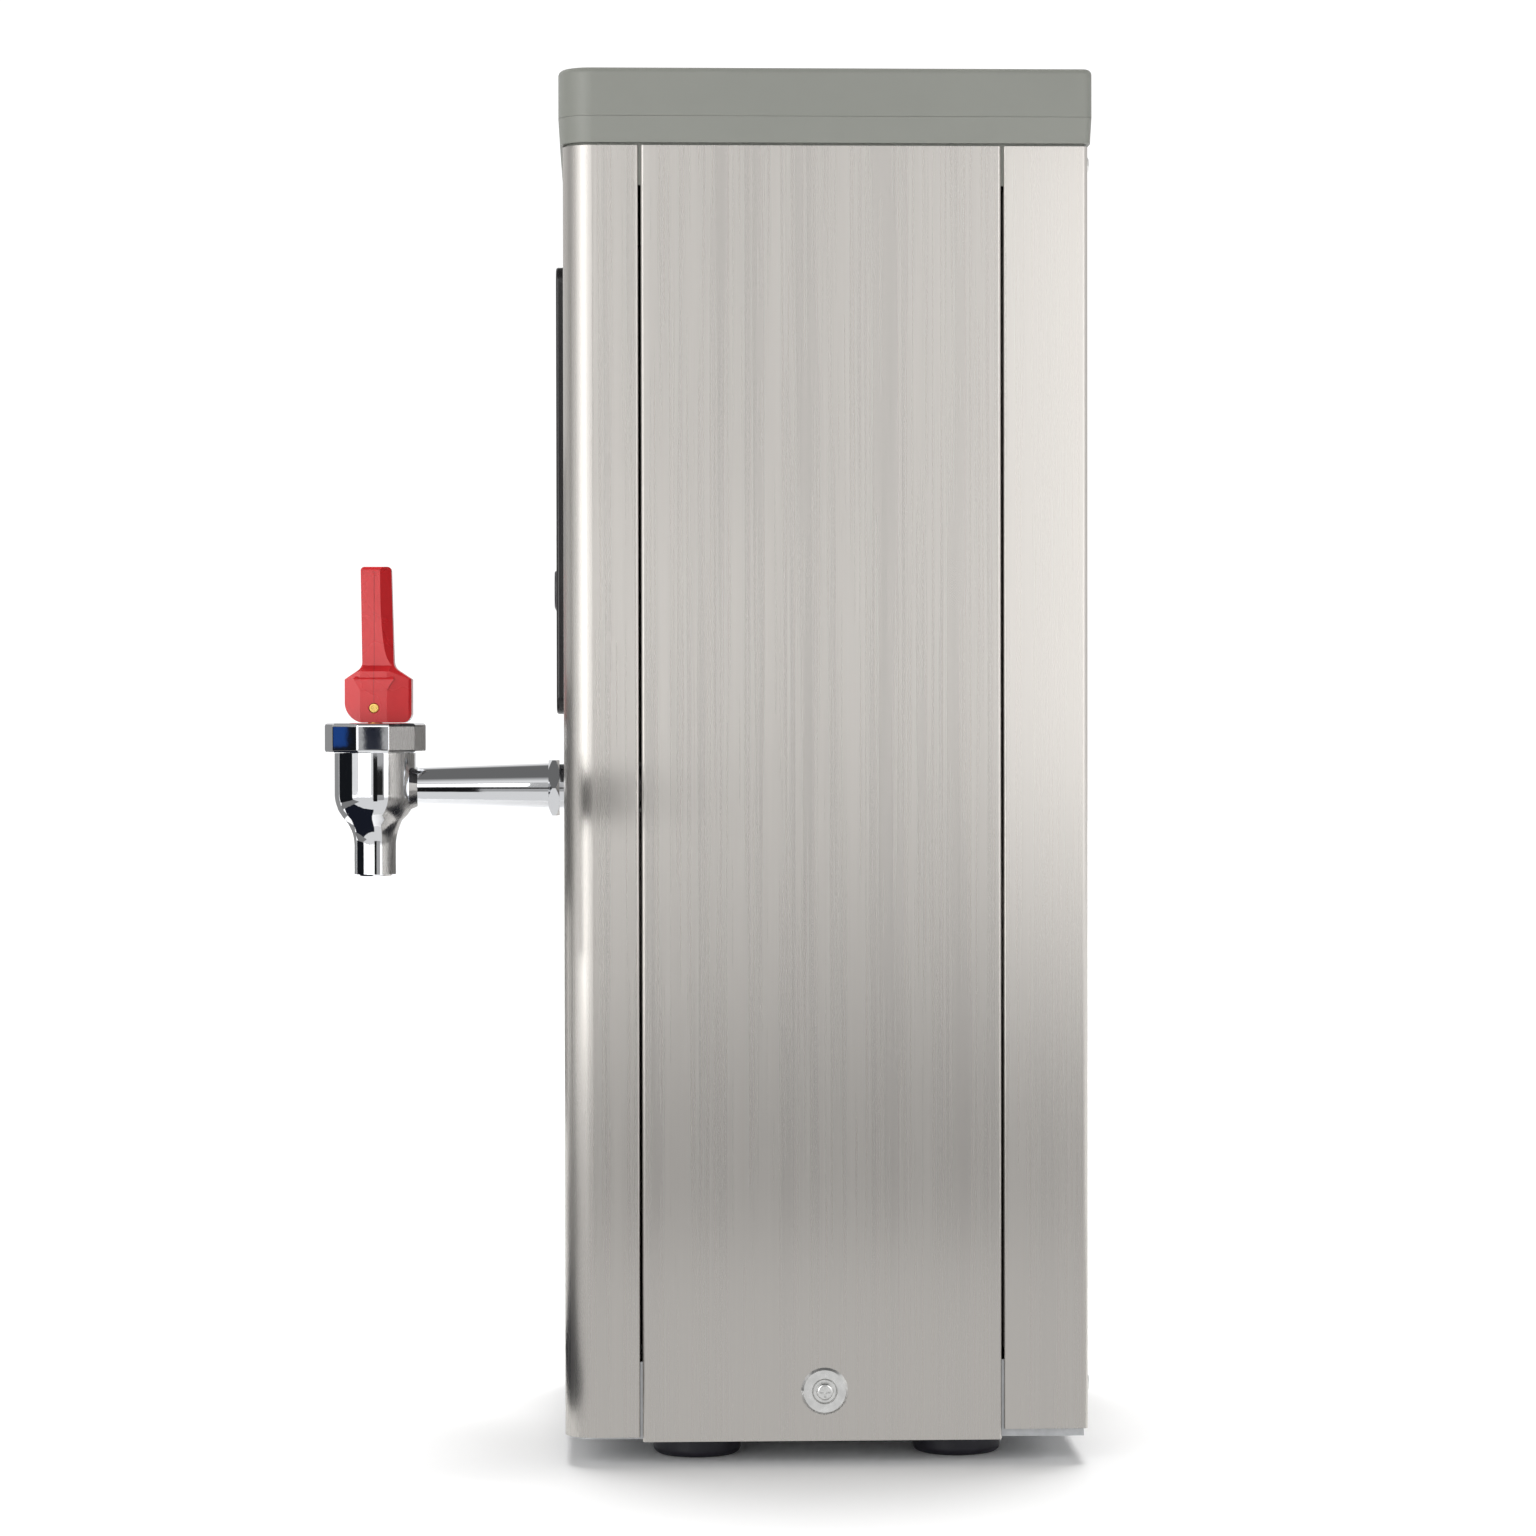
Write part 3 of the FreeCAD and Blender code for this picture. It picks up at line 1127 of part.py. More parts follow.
def hose_clamps():
    """Spring bands round the ends of the hoses."""
    def band(radius, base, axis):
        return cut(rod(radius + 1.2, 6.0, base, axis), rod(radius + 0.05, 6.0, base, axis))
    return group([
        band(OUTLET_HOSE_RADIUS, V(0, THREAD_END_Y + 5.0, SHANK_Z), Y_AXIS),
        band(OUTLET_HOSE_RADIUS, V(0, OUTLET_Y, TANK_BOTTOM - 12.5), Z_AXIS),
        band(HOSE_RADIUS, V(DRAIN_X, DRAIN_Y, TANK_BOTTOM - 13.0), Z_AXIS),
        band(HOSE_RADIUS, V(FILL_X, FILL_Y, TANK_LID_TOP + 3.0), Z_AXIS),
    ])


def inlet_valve():
    """A solenoid valve behind the water inlet: body, coil and outlet stub."""
    body = block(FITTING_X - 15, FITTING_X + 15, VALVE_FRONT, VALVE_REAR, INLET_Z - 13, INLET_Z + 13)
    body = body.makeFillet(2.5, edges_where(body, lambda box: box.YLength > 20.0))
    coil = rod(14.0, 34.0, V(FITTING_X, 107.0, INLET_Z + 13.0))
    stub = rod(HOSE_BORE - 0.1, 14.5, V(FITTING_X, VALVE_FRONT - 14.0, INLET_Z), Y_AXIS)
    port = rod(INLET_RADIUS - 2.0 + 0.05, 12.0, V(FITTING_X, VALVE_REAR - 12.0, INLET_Z), Y_AXIS)
    way = rod(HOSE_BORE - 1.4, 60.0, V(FITTING_X, VALVE_FRONT - 20.0, INLET_Z), Y_AXIS)
    return cut(fuse(body, coil, stub), port, way)


def inlet_fitting():
    """A half-inch male water connection with a hexagon outside the rear panel."""
    start = V(FITTING_X, REAR_Y, INLET_Z)
    nut = hexagon(27.0, 3.0, start, Y_AXIS)
    thread = rod(INLET_RADIUS, REAR_REACH - REAR_Y - 3.0, start + Y_AXIS * 3.0, Y_AXIS)
    rim = edges_where(thread, lambda box: box.YMin > REAR_REACH - 0.01)
    thread = thread.makeChamfer(1.0, rim)
    tail_start = VALVE_REAR - 10.0
    tail = rod(INLET_RADIUS - 2.0, REAR_Y - tail_start, V(FITTING_X, tail_start, INLET_Z), Y_AXIS)
    bore = rod(INLET_BORE, 60.0, V(FITTING_X, VALVE_REAR - 12.0, INLET_Z), Y_AXIS)
    return cut(fuse(nut, thread, tail), bore)


def fill_hose():
    """The hose from the inlet valve up the left side and over into the tank lid."""
    route = [
        (FITTING_X, VALVE_FRONT - 1.0, INLET_Z),
        (FITTING_X, FILL_Y, INLET_Z),
        (FILL_RUN_X, FILL_Y, INLET_Z),
        (FILL_RUN_X, FILL_Y, TANK_LID_TOP + 26.0),
        (FILL_X, FILL_Y, TANK_LID_TOP + 26.0),
        (FILL_X, FILL_Y, TANK_LID_TOP + 1.0),
    ]
    return pipe(route, HOSE_RADIUS, HOSE_BORE, HOSE_BEND)


def drain_hose():
    """The hose from the tank down to the drain outlet."""
    route = [
        (DRAIN_X, DRAIN_Y, TANK_BOTTOM - 4.0),
        (DRAIN_X, DRAIN_Y, DRAIN_Z),
        (FITTING_X, DRAIN_Y, DRAIN_Z),
        (FITTING_X, REAR_Y - 14.0, DRAIN_Z),
    ]
    return pipe(route, HOSE_RADIUS, HOSE_BORE, HOSE_BEND)


def drain_outlet():
    """A threaded outlet through the rear panel, with a barb inside."""
    tail = rod(HOSE_BORE - 0.1, 22.0, V(FITTING_X, REAR_Y - 26.0, DRAIN_Z), Y_AXIS)
    body = rod(9.0, 14.0, V(FITTING_X, REAR_Y - 4.0, DRAIN_Z), Y_AXIS)
    shoulder = rod(CAP_RADIUS, 1.4, V(FITTING_X, REAR_Y, DRAIN_Z), Y_AXIS)
    bore = rod(HOSE_BORE - 1.0, 50.0, V(FITTING_X, REAR_Y - 28.0, DRAIN_Z), Y_AXIS)
    return cut(fuse(tail, body, shoulder), bore)


def drain_cap():
    """A screw cap with grip ribs over the drain outlet."""
    start = REAR_Y + 1.6
    end = start + CAP_LENGTH
    cap = rod(CAP_RADIUS, CAP_LENGTH, V(FITTING_X, start, DRAIN_Z), Y_AXIS)
    cap = cap.makeFillet(1.0, edges_where(cap, lambda box: box.YMin > end - 0.1))
    reach = CAP_RADIUS + 0.6
    grooves = []
    for step in range(CAP_RIBS):
        turn = 2.0 * math.pi * step / CAP_RIBS
        x = FITTING_X + reach * math.cos(turn)
        z = DRAIN_Z + reach * math.sin(turn)
        grooves.append(rod(CAP_GROOVE, CAP_LENGTH - 3.0, V(x, start, z), Y_AXIS))
    well = rod(9.1, 9.4, V(FITTING_X, start, DRAIN_Z), Y_AXIS)
    return cut(cap, well, *grooves)


# Electrical side

def standoff_places():
    return [(x, y) for x in (BOARD_X0 + 5, BOARD_X1 - 5) for y in (BOARD_Y0 + 5, BOARD_Y1 - 5)]


def control_board():
    """The main board with its transformer, relays, capacitor and heat sink."""
    top = BOARD_Z + BOARD_THICKNESS
    board = block(BOARD_X0, BOARD_X1, BOARD_Y0, BOARD_Y1, BOARD_Z, top)
    board = cut(board, *[rod(1.7, 4.0, V(x, y, BOARD_Z - 1)) for x, y in standoff_places()])
    relays = [block(RELAY_X0, RELAY_X1, y, y + RELAY_LENGTH, top, top + RELAY_HEIGHT) for y in RELAY_YS]
    transformer = block(*TRANSFORMER, top, top + TRANSFORMER_HEIGHT)
    capacitor = rod(CAPACITOR_RADIUS, CAPACITOR_HEIGHT, V(CAPACITOR_X, CAPACITOR_Y, top))
    sink = block(SINK_X0, SINK_X1, SINK_Y0, SINK_Y1, top, top + SINK_PLATE)
    fin_ys = [SINK_Y0 + step * FIN_PITCH for step in range(FINS)]
    fins = [block(SINK_X0, SINK_X1, y, y + FIN_THICKNESS, top, top + FIN_HEIGHT) for y in fin_ys]
    y0, y1 = SOCKET_Y, SOCKET_Y + SOCKET_DEPTH
    sockets = [block(x, x + SOCKET_LENGTH, y0, y1, top, top + SOCKET_HEIGHT) for x in SOCKET_XS]
    return fuse(board, transformer, capacitor, sink, *(relays + fins + sockets))


def board_standoffs():
    posts = []
    for x, y in standoff_places():
        post = hexagon(6.0, BOARD_Z - PAN_FLOOR, V(x, y, PAN_FLOOR), Z_AXIS)
        stud = rod(1.6, 5.0, V(x, y, BOARD_Z))
        posts.append(fuse(post, stud))
    return group(posts)


def power_inlet():
    """A three-pin appliance inlet with a flange outside the rear panel."""
    mouth = INLET_FACE_Y
    floor = REAR_Y - POWER_DEPTH
    flange = rear_plate(POWER_X, POWER_FLANGE_HALF_WIDTH, POWER_FLANGE_HALF_HEIGHT, 5.0, REAR_Y, mouth)
    body = rear_block(POWER_X, POWER_HALF_WIDTH, POWER_HALF_HEIGHT, floor - 4.0, REAR_Y + 1.0)
    cavity = rear_plate(POWER_X, POWER_CAVITY_HALF_WIDTH, POWER_CAVITY_HALF_HEIGHT, 2.0, floor, mouth + 1.0)
    holes = [rod(SCREW_HOLE, 8.0, V(x, REAR_Y - 2.0, POWER_Z), Y_AXIS) for x in inlet_screw_xs()]
    shell = cut(fuse(flange, body), cavity, *holes)
    pins = []
    for dx, dz in POWER_PINS:
        x, z = POWER_X + dx, POWER_Z + dz
        pins.append(block(x - 1.0, x + 1.0, floor - 14.0, REAR_Y - 2.4, z - 2.0, z + 2.0))
    return fuse(shell, *pins)


def inlet_screw_xs():
    return (POWER_X - POWER_SCREW_REACH, POWER_X + POWER_SCREW_REACH)


def switch_housing():
    """The rear rocker switch's body, snapped into the panel."""
    back = REAR_Y - SWITCH_DEPTH
    bezel = rear_plate(SWITCH_X, SWITCH_HALF_WIDTH + 1.1, SWITCH_HALF_HEIGHT + 1.1, 1.5, REAR_Y, REAR_Y + 1.6)
    body = rear_block(SWITCH_X, SWITCH_HALF_WIDTH, SWITCH_HALF_HEIGHT, back, REAR_Y + 1.0)
    well = rear_block(SWITCH_X, SWITCH_HALF_WIDTH - 1.3, SWITCH_HALF_HEIGHT - 1.3, REAR_Y - 9.5, REAR_Y + 3.0)
    pivot = rod(PIVOT_RADIUS + 0.06, 12.4, V(SWITCH_X - 6.2, ROCKER_Y, POWER_Z), X_AXIS)
    tab_zs = [POWER_Z + step * SWITCH_TAB_PITCH for step in (-1, 0, 1)]
    tabs = [block(SWITCH_X - 3.0, SWITCH_X + 3.0, back - 9.0, back, z, z + 0.8) for z in tab_zs]
    return cut(fuse(bezel, body, *tabs), well, pivot)


def rocker_switch():
    """A rocker with a shallow valley across its face, resting with its upper end pressed."""
    x = SWITCH_X - ROCKER_HALF_WIDTH
    points = [(x, ROCKER_Y + dy, POWER_Z + dz) for dy, dz in ROCKER_OUTLINE]
    paddle = polygon_prism(points, V(2.0 * ROCKER_HALF_WIDTH, 0, 0))
    pivot = rod(PIVOT_RADIUS, 12.0, V(SWITCH_X - 6.0, ROCKER_Y, POWER_Z), X_AXIS)
    rocker = fuse(paddle, pivot)
    rocker.rotate(V(SWITCH_X, ROCKER_Y, POWER_Z), X_AXIS, ROCKER_TILT)
    return rocker


# All sub-parts

def sub_parts():
    parts = {
        "base_pan": base_pan(),
        "front_panel": front_panel(),
        "right_side_panel": side_panel(1),
        "left_side_panel": side_panel(-1),
        "rear_panel": rear_panel(),
        "top_frame": top_frame(),
        "lid": lid(),
        "foot_screws": foot_screws(),
        "side_cup_washers": side_cup_washers(),
        "side_panel_screws": side_panel_screws(),
        "rear_screws": rear_screws(),
        "rating_plate": rating_plate(),
        "fascia_bezel": fascia_bezel(),
        "display_window": display_window(),
        "display_module": display_module(),
        "display_board": display_board(),
        "fascia_screws": fascia_screws(),
        "tact_switches": tact_switches(),
        "indicator_lenses": indicator_lenses(),
        "tap_body": tap_body(),
        "tap_shank": tap_shank(),
        "tap_collar": tap_collar(),
        "tap_bonnet": tap_bonnet(),
        "valve_stem": valve_stem(),
        "seat_cup": seat_cup(),
        "tap_spring": tap_spring(),
        "lever_pin": lever_pin(),
        "lever": lever(),
        "shank_nut": shank_nut(),
        "tap_lock_nut": tap_lock_nut(),
        "inner_tank": inner_tank(),
        "tank_lid": tank_lid(),
        "insulation_jacket": insulation_jacket(),
        "tank_shelf": tank_shelf(),
        "shelf_brackets": group([shelf_bracket(side) for side in (1, -1)]),
        "heating_element": heating_element(),
        "probe_holder": probe_holder(),
        "level_probes": level_probes(),
        "temperature_probe": temperature_probe(),
        "outlet_hose": outlet_hose(),
        "hose_clamps": hose_clamps(),
        "inlet_valve": inlet_valve(),
        "inlet_fitting": inlet_fitting(),
        "fill_hose": fill_hose(),
        "drain_hose": drain_hose(),
        "drain_outlet": drain_outlet(),
        "drain_cap": drain_cap(),
        "control_board": control_board(),
        "board_standoffs": board_standoffs(),
        "power_inlet": power_inlet(),
        "switch_housing": switch_housing(),
        "rocker_switch": rocker_switch(),
    }
    feet = ("front_right_foot", "front_left_foot", "rear_right_foot", "rear_left_foot")
    for name, (x, y) in zip(feet, foot_places()):
        parts[name] = foot(x, y)
    buttons = ("power_button", "heat_button", "minus_button", "plus_button")
    for name, x in zip(buttons, button_places()):
        parts[name] = push_button(x)
    return parts


os.makedirs("parts", exist_ok=True)
for node, shape in sub_parts().items():
    shape.exportStep(f"parts/{node}.step")
    print(node, len(shape.Solids), shape.isValid(), round(shape.Volume / 1000.0, 2), "cm3")
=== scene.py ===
import json
from math import cos, pi, radians, sin

import bmesh
import bpy
from mathutils import Matrix, Vector


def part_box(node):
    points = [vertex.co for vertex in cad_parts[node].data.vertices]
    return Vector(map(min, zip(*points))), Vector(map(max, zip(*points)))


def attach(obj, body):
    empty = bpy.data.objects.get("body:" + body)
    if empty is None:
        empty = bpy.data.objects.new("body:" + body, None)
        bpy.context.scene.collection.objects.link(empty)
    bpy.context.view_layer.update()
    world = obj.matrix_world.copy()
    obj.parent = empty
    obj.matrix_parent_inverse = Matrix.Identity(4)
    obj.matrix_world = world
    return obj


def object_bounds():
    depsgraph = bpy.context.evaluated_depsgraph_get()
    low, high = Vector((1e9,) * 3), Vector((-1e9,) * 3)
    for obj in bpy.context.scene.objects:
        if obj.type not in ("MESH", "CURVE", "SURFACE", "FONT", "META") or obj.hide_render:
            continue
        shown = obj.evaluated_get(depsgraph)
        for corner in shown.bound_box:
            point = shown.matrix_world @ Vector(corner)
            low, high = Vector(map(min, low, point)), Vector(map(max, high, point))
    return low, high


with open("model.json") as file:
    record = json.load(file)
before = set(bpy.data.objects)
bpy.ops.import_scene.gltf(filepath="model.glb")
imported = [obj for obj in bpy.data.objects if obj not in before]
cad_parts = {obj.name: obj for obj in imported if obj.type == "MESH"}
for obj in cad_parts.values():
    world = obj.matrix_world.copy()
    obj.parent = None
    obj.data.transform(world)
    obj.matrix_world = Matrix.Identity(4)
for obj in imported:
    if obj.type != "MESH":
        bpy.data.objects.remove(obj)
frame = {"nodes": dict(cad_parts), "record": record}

CAD_LOW, CAD_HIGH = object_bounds()
NODES = frame["nodes"]
MM = 0.001

# ---------------------------------------------------------------- camera
CAMERA_DISTANCE = 1.6668    # from the middle of the object's side to the camera
CAMERA_ACROSS = -0.0460     # along the object's depth, from its middle
CAMERA_HEIGHT = 0.2917
CAMERA_YAW = radians(2.185)
CAMERA_PITCH = radians(-0.8665)
CAMERA_ROLL = radians(-0.087)
CAMERA_LENS = 102.85
SENSOR = 36.0


def make_camera():
    """The camera looks along -X at the right side, turned a little towards the back."""
    flat = cos(CAMERA_PITCH)
    forward = Vector((-cos(CAMERA_YAW) * flat, sin(CAMERA_YAW) * flat, sin(CAMERA_PITCH)))
    level = forward.cross(Vector((0, 0, 1))).normalized()
    upright = level.cross(forward)
    right = cos(CAMERA_ROLL) * level + sin(CAMERA_ROLL) * upright
    up = cos(CAMERA_ROLL) * upright - sin(CAMERA_ROLL) * level
    turn = Matrix((right, up, -forward)).transposed().to_4x4()
    middle = (CAD_LOW.y + CAD_HIGH.y) / 2
    place = Vector((CAD_HIGH.x + CAMERA_DISTANCE, middle + CAMERA_ACROSS, CAMERA_HEIGHT))
    data = bpy.data.cameras.new("camera")
    data.lens = CAMERA_LENS
    data.sensor_width = SENSOR
    camera = bpy.data.objects.new("camera", data)
    camera.matrix_world = Matrix.Translation(place) @ turn
    bpy.context.scene.collection.objects.link(camera)
    bpy.context.scene.camera = camera


# ---------------------------------------------------------------- studio
FLOOR_HALF = 9.0
FLOOR_WHITE = 0.97
BACKDROP = 1.1
HORIZON, CEILING = 0.85, 0.16
FADE_START, FADE_END = 0.55, 0.8    # where the horizon's level turns to the ceiling's
SUN_POWER = 2.9
SUN_ANGLE = radians(32)
SUN_DIRECTION = (-0.26, 0.02, 1)
KEY_PLACE = (1.75, -1.05, 0.75)
KEY_SIZE = (1.25, 1.9)
KEY_POWER = 15
SIDE_CARD_X = 0.81          # a grey card beside the camera, which the flat side reflects
SIDE_CARD_TOP = 0.64
SIDE_CARD_START = -0.24
REAR_CARD_HALF = 0.3
CARD_SPLIT = 0.275          # where the grey card ends and the bright one beside it starts


def quad(name, centre, across, up):
    """A flat rectangle about centre, from two half-length vectors."""
    c, a, u = Vector(centre), Vector(across), Vector(up)
    mesh = bpy.data.meshes.new(name)
    mesh.from_pydata([c - a - u, c + a - u, c + a + u, c - a + u], [], [(0, 1, 2, 3)])
    piece = bpy.data.objects.new(name, mesh)
    bpy.context.scene.collection.objects.link(piece)
    return piece


def card(name, centre, across, up, low, high=None, start=0.0, reach=1.0, tint=(1, 1, 1)):
    """A card that only glossy surfaces show.

    It glows low up to the height start, and high from the height reach.
    """
    piece = quad(name, centre, across, up)
    material = bpy.data.materials.new(name)
    material.use_nodes = True
    nodes, links = material.node_tree.nodes, material.node_tree.links
    nodes.clear()
    glow = nodes.new("ShaderNodeEmission")
    glow.inputs["Color"].default_value = (*tint, 1)
    glow.inputs["Strength"].default_value = low
    if high is not None:
        where = nodes.new("ShaderNodeNewGeometry")
        split = nodes.new("ShaderNodeSeparateXYZ")
        fade = nodes.new("ShaderNodeMapRange")
        for socket, value in (("From Min", start), ("From Max", reach), ("To Min", low), ("To Max", high)):
            fade.inputs[socket].default_value = value
        links.new(where.outputs["Position"], split.inputs[0])
        links.new(split.outputs["Z"], fade.inputs["Value"])
        links.new(fade.outputs[0], glow.inputs["Strength"])
    out = nodes.new("ShaderNodeOutputMaterial")
    links.new(glow.outputs[0], out.inputs["Surface"])
    piece.data.materials.append(material)
    piece.visible_camera = False
    piece.visible_diffuse = False
    piece.visible_shadow = False
    piece.visible_transmission = False
    return piece


def softbox(name, place, target, size, power):
    """A soft lamp at place that faces target."""
    data = bpy.data.lights.new(name, "AREA")
    data.shape = "RECTANGLE"
    data.size, data.size_y = size
    data.energy = power
    lamp = bpy.data.objects.new(name, data)
    away = (Vector(place) - Vector(target)).normalized()
    lamp.matrix_world = Matrix.Translation(place) @ away.to_track_quat("Z", "Y").to_matrix().to_4x4()
    lamp.visible_camera = False
    bpy.context.scene.collection.objects.link(lamp)
    return lamp


def make_sky():
    """White to the camera. Everything else sees a bright horizon under a dim ceiling."""
    world = bpy.data.worlds.new("studio")
    bpy.context.scene.world = world
    world.use_nodes = True
    nodes, links = world.node_tree.nodes, world.node_tree.links
    around = nodes["Background"]
    place = nodes.new("ShaderNodeTexCoord")
    split = nodes.new("ShaderNodeSeparateXYZ")
    fade = nodes.new("ShaderNodeMapRange")
    span = (("From Min", FADE_START), ("From Max", FADE_END), ("To Min", HORIZON), ("To Max", CEILING))
    for socket, value in span:
        fade.inputs[socket].default_value = value
    links.new(place.outputs["Generated"], split.inputs[0])
    links.new(split.outputs["Z"], fade.inputs["Value"])
    links.new(fade.outputs[0], around.inputs["Strength"])
    around.inputs["Color"].default_value = (1, 1, 1, 1)
    white = nodes.new("ShaderNodeBackground")
    white.inputs["Color"].default_value = (1, 1, 1, 1)
    white.inputs["Strength"].default_value = BACKDROP
    seen = nodes.new("ShaderNodeLightPath")
    either = nodes.new("ShaderNodeMixShader")
    links.new(seen.outputs["Is Camera Ray"], either.inputs[0])
    links.new(around.outputs[0], either.inputs[1])
    links.new(white.outputs[0], either.inputs[2])
    links.new(either.outputs[0], nodes["World Output"].inputs["Surface"])


def make_studio():
    bpy.context.scene.view_settings.view_transform = "Standard"
    make_sky()
    floor = quad("floor", (0, 0, 0), (FLOOR_HALF, 0, 0), (0, FLOOR_HALF, 0))
    paper = bpy.data.materials.new("paper")
    paper.use_nodes = True
    shader = paper.node_tree.nodes["Principled BSDF"]
    shader.inputs["Base Color"].default_value = (FLOOR_WHITE, FLOOR_WHITE, FLOOR_WHITE, 1)
    shader.inputs["Roughness"].default_value = 0.9
    shader.inputs["Specular IOR Level"].default_value = 0.1
    floor.data.materials.append(paper)

    data = bpy.data.lights.new("overhead", "SUN")
    data.energy = SUN_POWER
    data.angle = SUN_ANGLE
    sun = bpy.data.objects.new("overhead", data)
    sun.matrix_world = Vector(SUN_DIRECTION).to_track_quat("Z", "Y").to_matrix().to_4x4()
    sun.visible_glossy = False
    bpy.context.scene.collection.objects.link(sun)

    middle = (0, 0, CAD_HIGH.z / 2)
    softbox("key", KEY_PLACE, middle, KEY_SIZE, KEY_POWER)
    make_cards()


def make_cards():
    """What the cabinet reflects, and then what the tap and the lever reflect."""
    half = SIDE_CARD_TOP / 2
    card("side_card", (SIDE_CARD_X, (CARD_SPLIT + SIDE_CARD_START) / 2, half),
         (0, (CARD_SPLIT - SIDE_CARD_START) / 2, 0), (0, 0, half), 0.38, 0.5, reach=0.5)
    card("rear_card", (SIDE_CARD_X, CARD_SPLIT + REAR_CARD_HALF, half), (0, REAR_CARD_HALF, 0),
         (0, 0, half), 0.7, 2.3, 0.06, 0.27)
    card("floor_card", (CAD_HIGH.x + 0.92, -0.35, 0.002), (0.9, 0, 0), (0, 1.2, 0), 0.77)
    card("dark_card", (0, -1.5, 0.5), (0.36, 0, 0), (0, 0, 0.7), 0.26)
    card("corner_dark_floor", (0.05, -1.07, 0.003), (0.45, 0, 0), (0, 0.43, 0), 0.22)
    tap = sum(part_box("tap_body"), Vector()) / 2
    collar = sum(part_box("tap_collar"), Vector()) / 2
    navy = (0.5, 0.6, 1)
    card("tap_dark_side", (0, tap.y - 0.2, tap.z), (0.1, 0, 0), (0, 0, 0.05), 0.012, tint=(0.7, 0.8, 1))
    card("tap_grey_edge", (-0.36, tap.y - 0.2, tap.z), (0.25, 0, 0), (0, 0, 0.16), 0.3)
    card("tap_dark_floor", (0.03, tap.y - 0.27, 0.003), (0.22, 0, 0), (0, 0.24, 0), 0.02, tint=navy)
    card("tap_blue", (0.046, tap.y - 0.142, collar.z), (0.0045, 0.0014, 0), (0, 0, 0.0048), 0.5,
         tint=(0.03, 0.12, 0.5))
    card("tap_dark_strip", (0.18, tap.y + 0.0095, 0.229), (0, 0.0155, 0), (0, 0, 0.0395), 0.01)
    card("collar_dark_strip", (0.18, tap.y - 0.0085, 0.2845), (0, 0.0042, 0), (0, 0, 0.0155), 0.03, tint=navy)
    card("shank_dark_line", (0.18, tap.y + 0.05, 0.2537), (0, 0.025, 0), (0, 0, 0.0095), 0.02)
    lever = sum(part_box("lever"), Vector()) / 2
    card("lever_light", (0.3, lever.y, lever.z + 0.02), (0, 0.035, 0), (0, 0, 0.04), 3.0)


# ---------------------------------------------------------------- materials
class Finish:
    """A Principled material whose pattern nodes are in the object's own metres."""

    def __init__(self, name, colour, **sockets):
        self.material = bpy.data.materials.new(name)
        self.material.use_nodes = True
        self.tree = self.material.node_tree
        self.shader = self.tree.nodes["Principled BSDF"]
        self.shader.inputs["Base Color"].default_value = (*colour, 1)
        for socket, value in sockets.items():
            self.shader.inputs[socket.replace("_", " ")].default_value = value
        self.place = self.tree.nodes.new("ShaderNodeTexCoord").outputs["Object"]

    def join(self, start, node, socket):
        self.tree.links.new(start, node.inputs[socket])

    def stretched(self, stretch):
        """The place, scaled by stretch along each axis."""
        node = self.tree.nodes.new("ShaderNodeMapping")
        node.inputs["Scale"].default_value = stretch
        self.join(self.place, node, "Vector")
        return node.outputs[0]

    def noise(self, scale, stretch=(1, 1, 1), detail=3.0):
        """Clouds of about 1/scale metres, from 0 to 1."""
        node = self.tree.nodes.new("ShaderNodeTexNoise")
        node.inputs["Scale"].default_value = scale
        node.inputs["Detail"].default_value = detail
        node.inputs["Roughness"].default_value = 0.5
        self.join(self.stretched(stretch), node, "Vector")
        return node.outputs["Fac"]

    def span(self, value, start, end, low=0.0, high=1.0):
        """value from start..end, mapped to low..high."""
        node = self.tree.nodes.new("ShaderNodeMapRange")
        for socket, number in zip(("From Min", "From Max", "To Min", "To Max"), (start, end, low, high)):
            node.inputs[socket].default_value = number
        self.join(value, node, "Value")
        return node.outputs[0]

    def total(self, first, second):
        node = self.tree.nodes.new("ShaderNodeMath")
        node.operation = "ADD"
        for index, value in enumerate((first, second)):
            self.join(value, node, index)
        return node.outputs[0]

    def blend(self, amount, first, second):
        """A colour between first and second."""
        node = self.tree.nodes.new("ShaderNodeMix")
        node.data_type = "RGBA"
        self.join(amount, node, "Factor")
        for socket, value in ((node.inputs[6], first), (node.inputs[7], second)):
            if isinstance(value, tuple):
                socket.default_value = (*value[:3], 1)
            else:
                self.tree.links.new(value, socket)
        return node.outputs[2]

    def paint(self, colour):
        self.join(colour, self.shader, "Base Color")

    def rough(self, value):
        self.join(value, self.shader, "Roughness")

    def bump(self, height, distance):
        """Relief: height 0 to 1 is distance metres."""
        node = self.tree.nodes.new("ShaderNodeBump")
        node.inputs["Strength"].default_value = 1.0
        node.inputs["Distance"].default_value = distance
        self.join(height, node, "Height")
        self.join(node.outputs[0], self.shader, "Normal")
        return node


STEEL = (0.54, 0.518, 0.49)
GRAIN_DARK, GRAIN_LIGHT = 0.98, 1.02
GRAIN_RELIEF = 0.0000022
REAR_WRAP_TILT = 0.07       # how far the rear panel's normals lean along Y


def shade(colour, factor):
    return tuple(channel * factor for channel in colour)


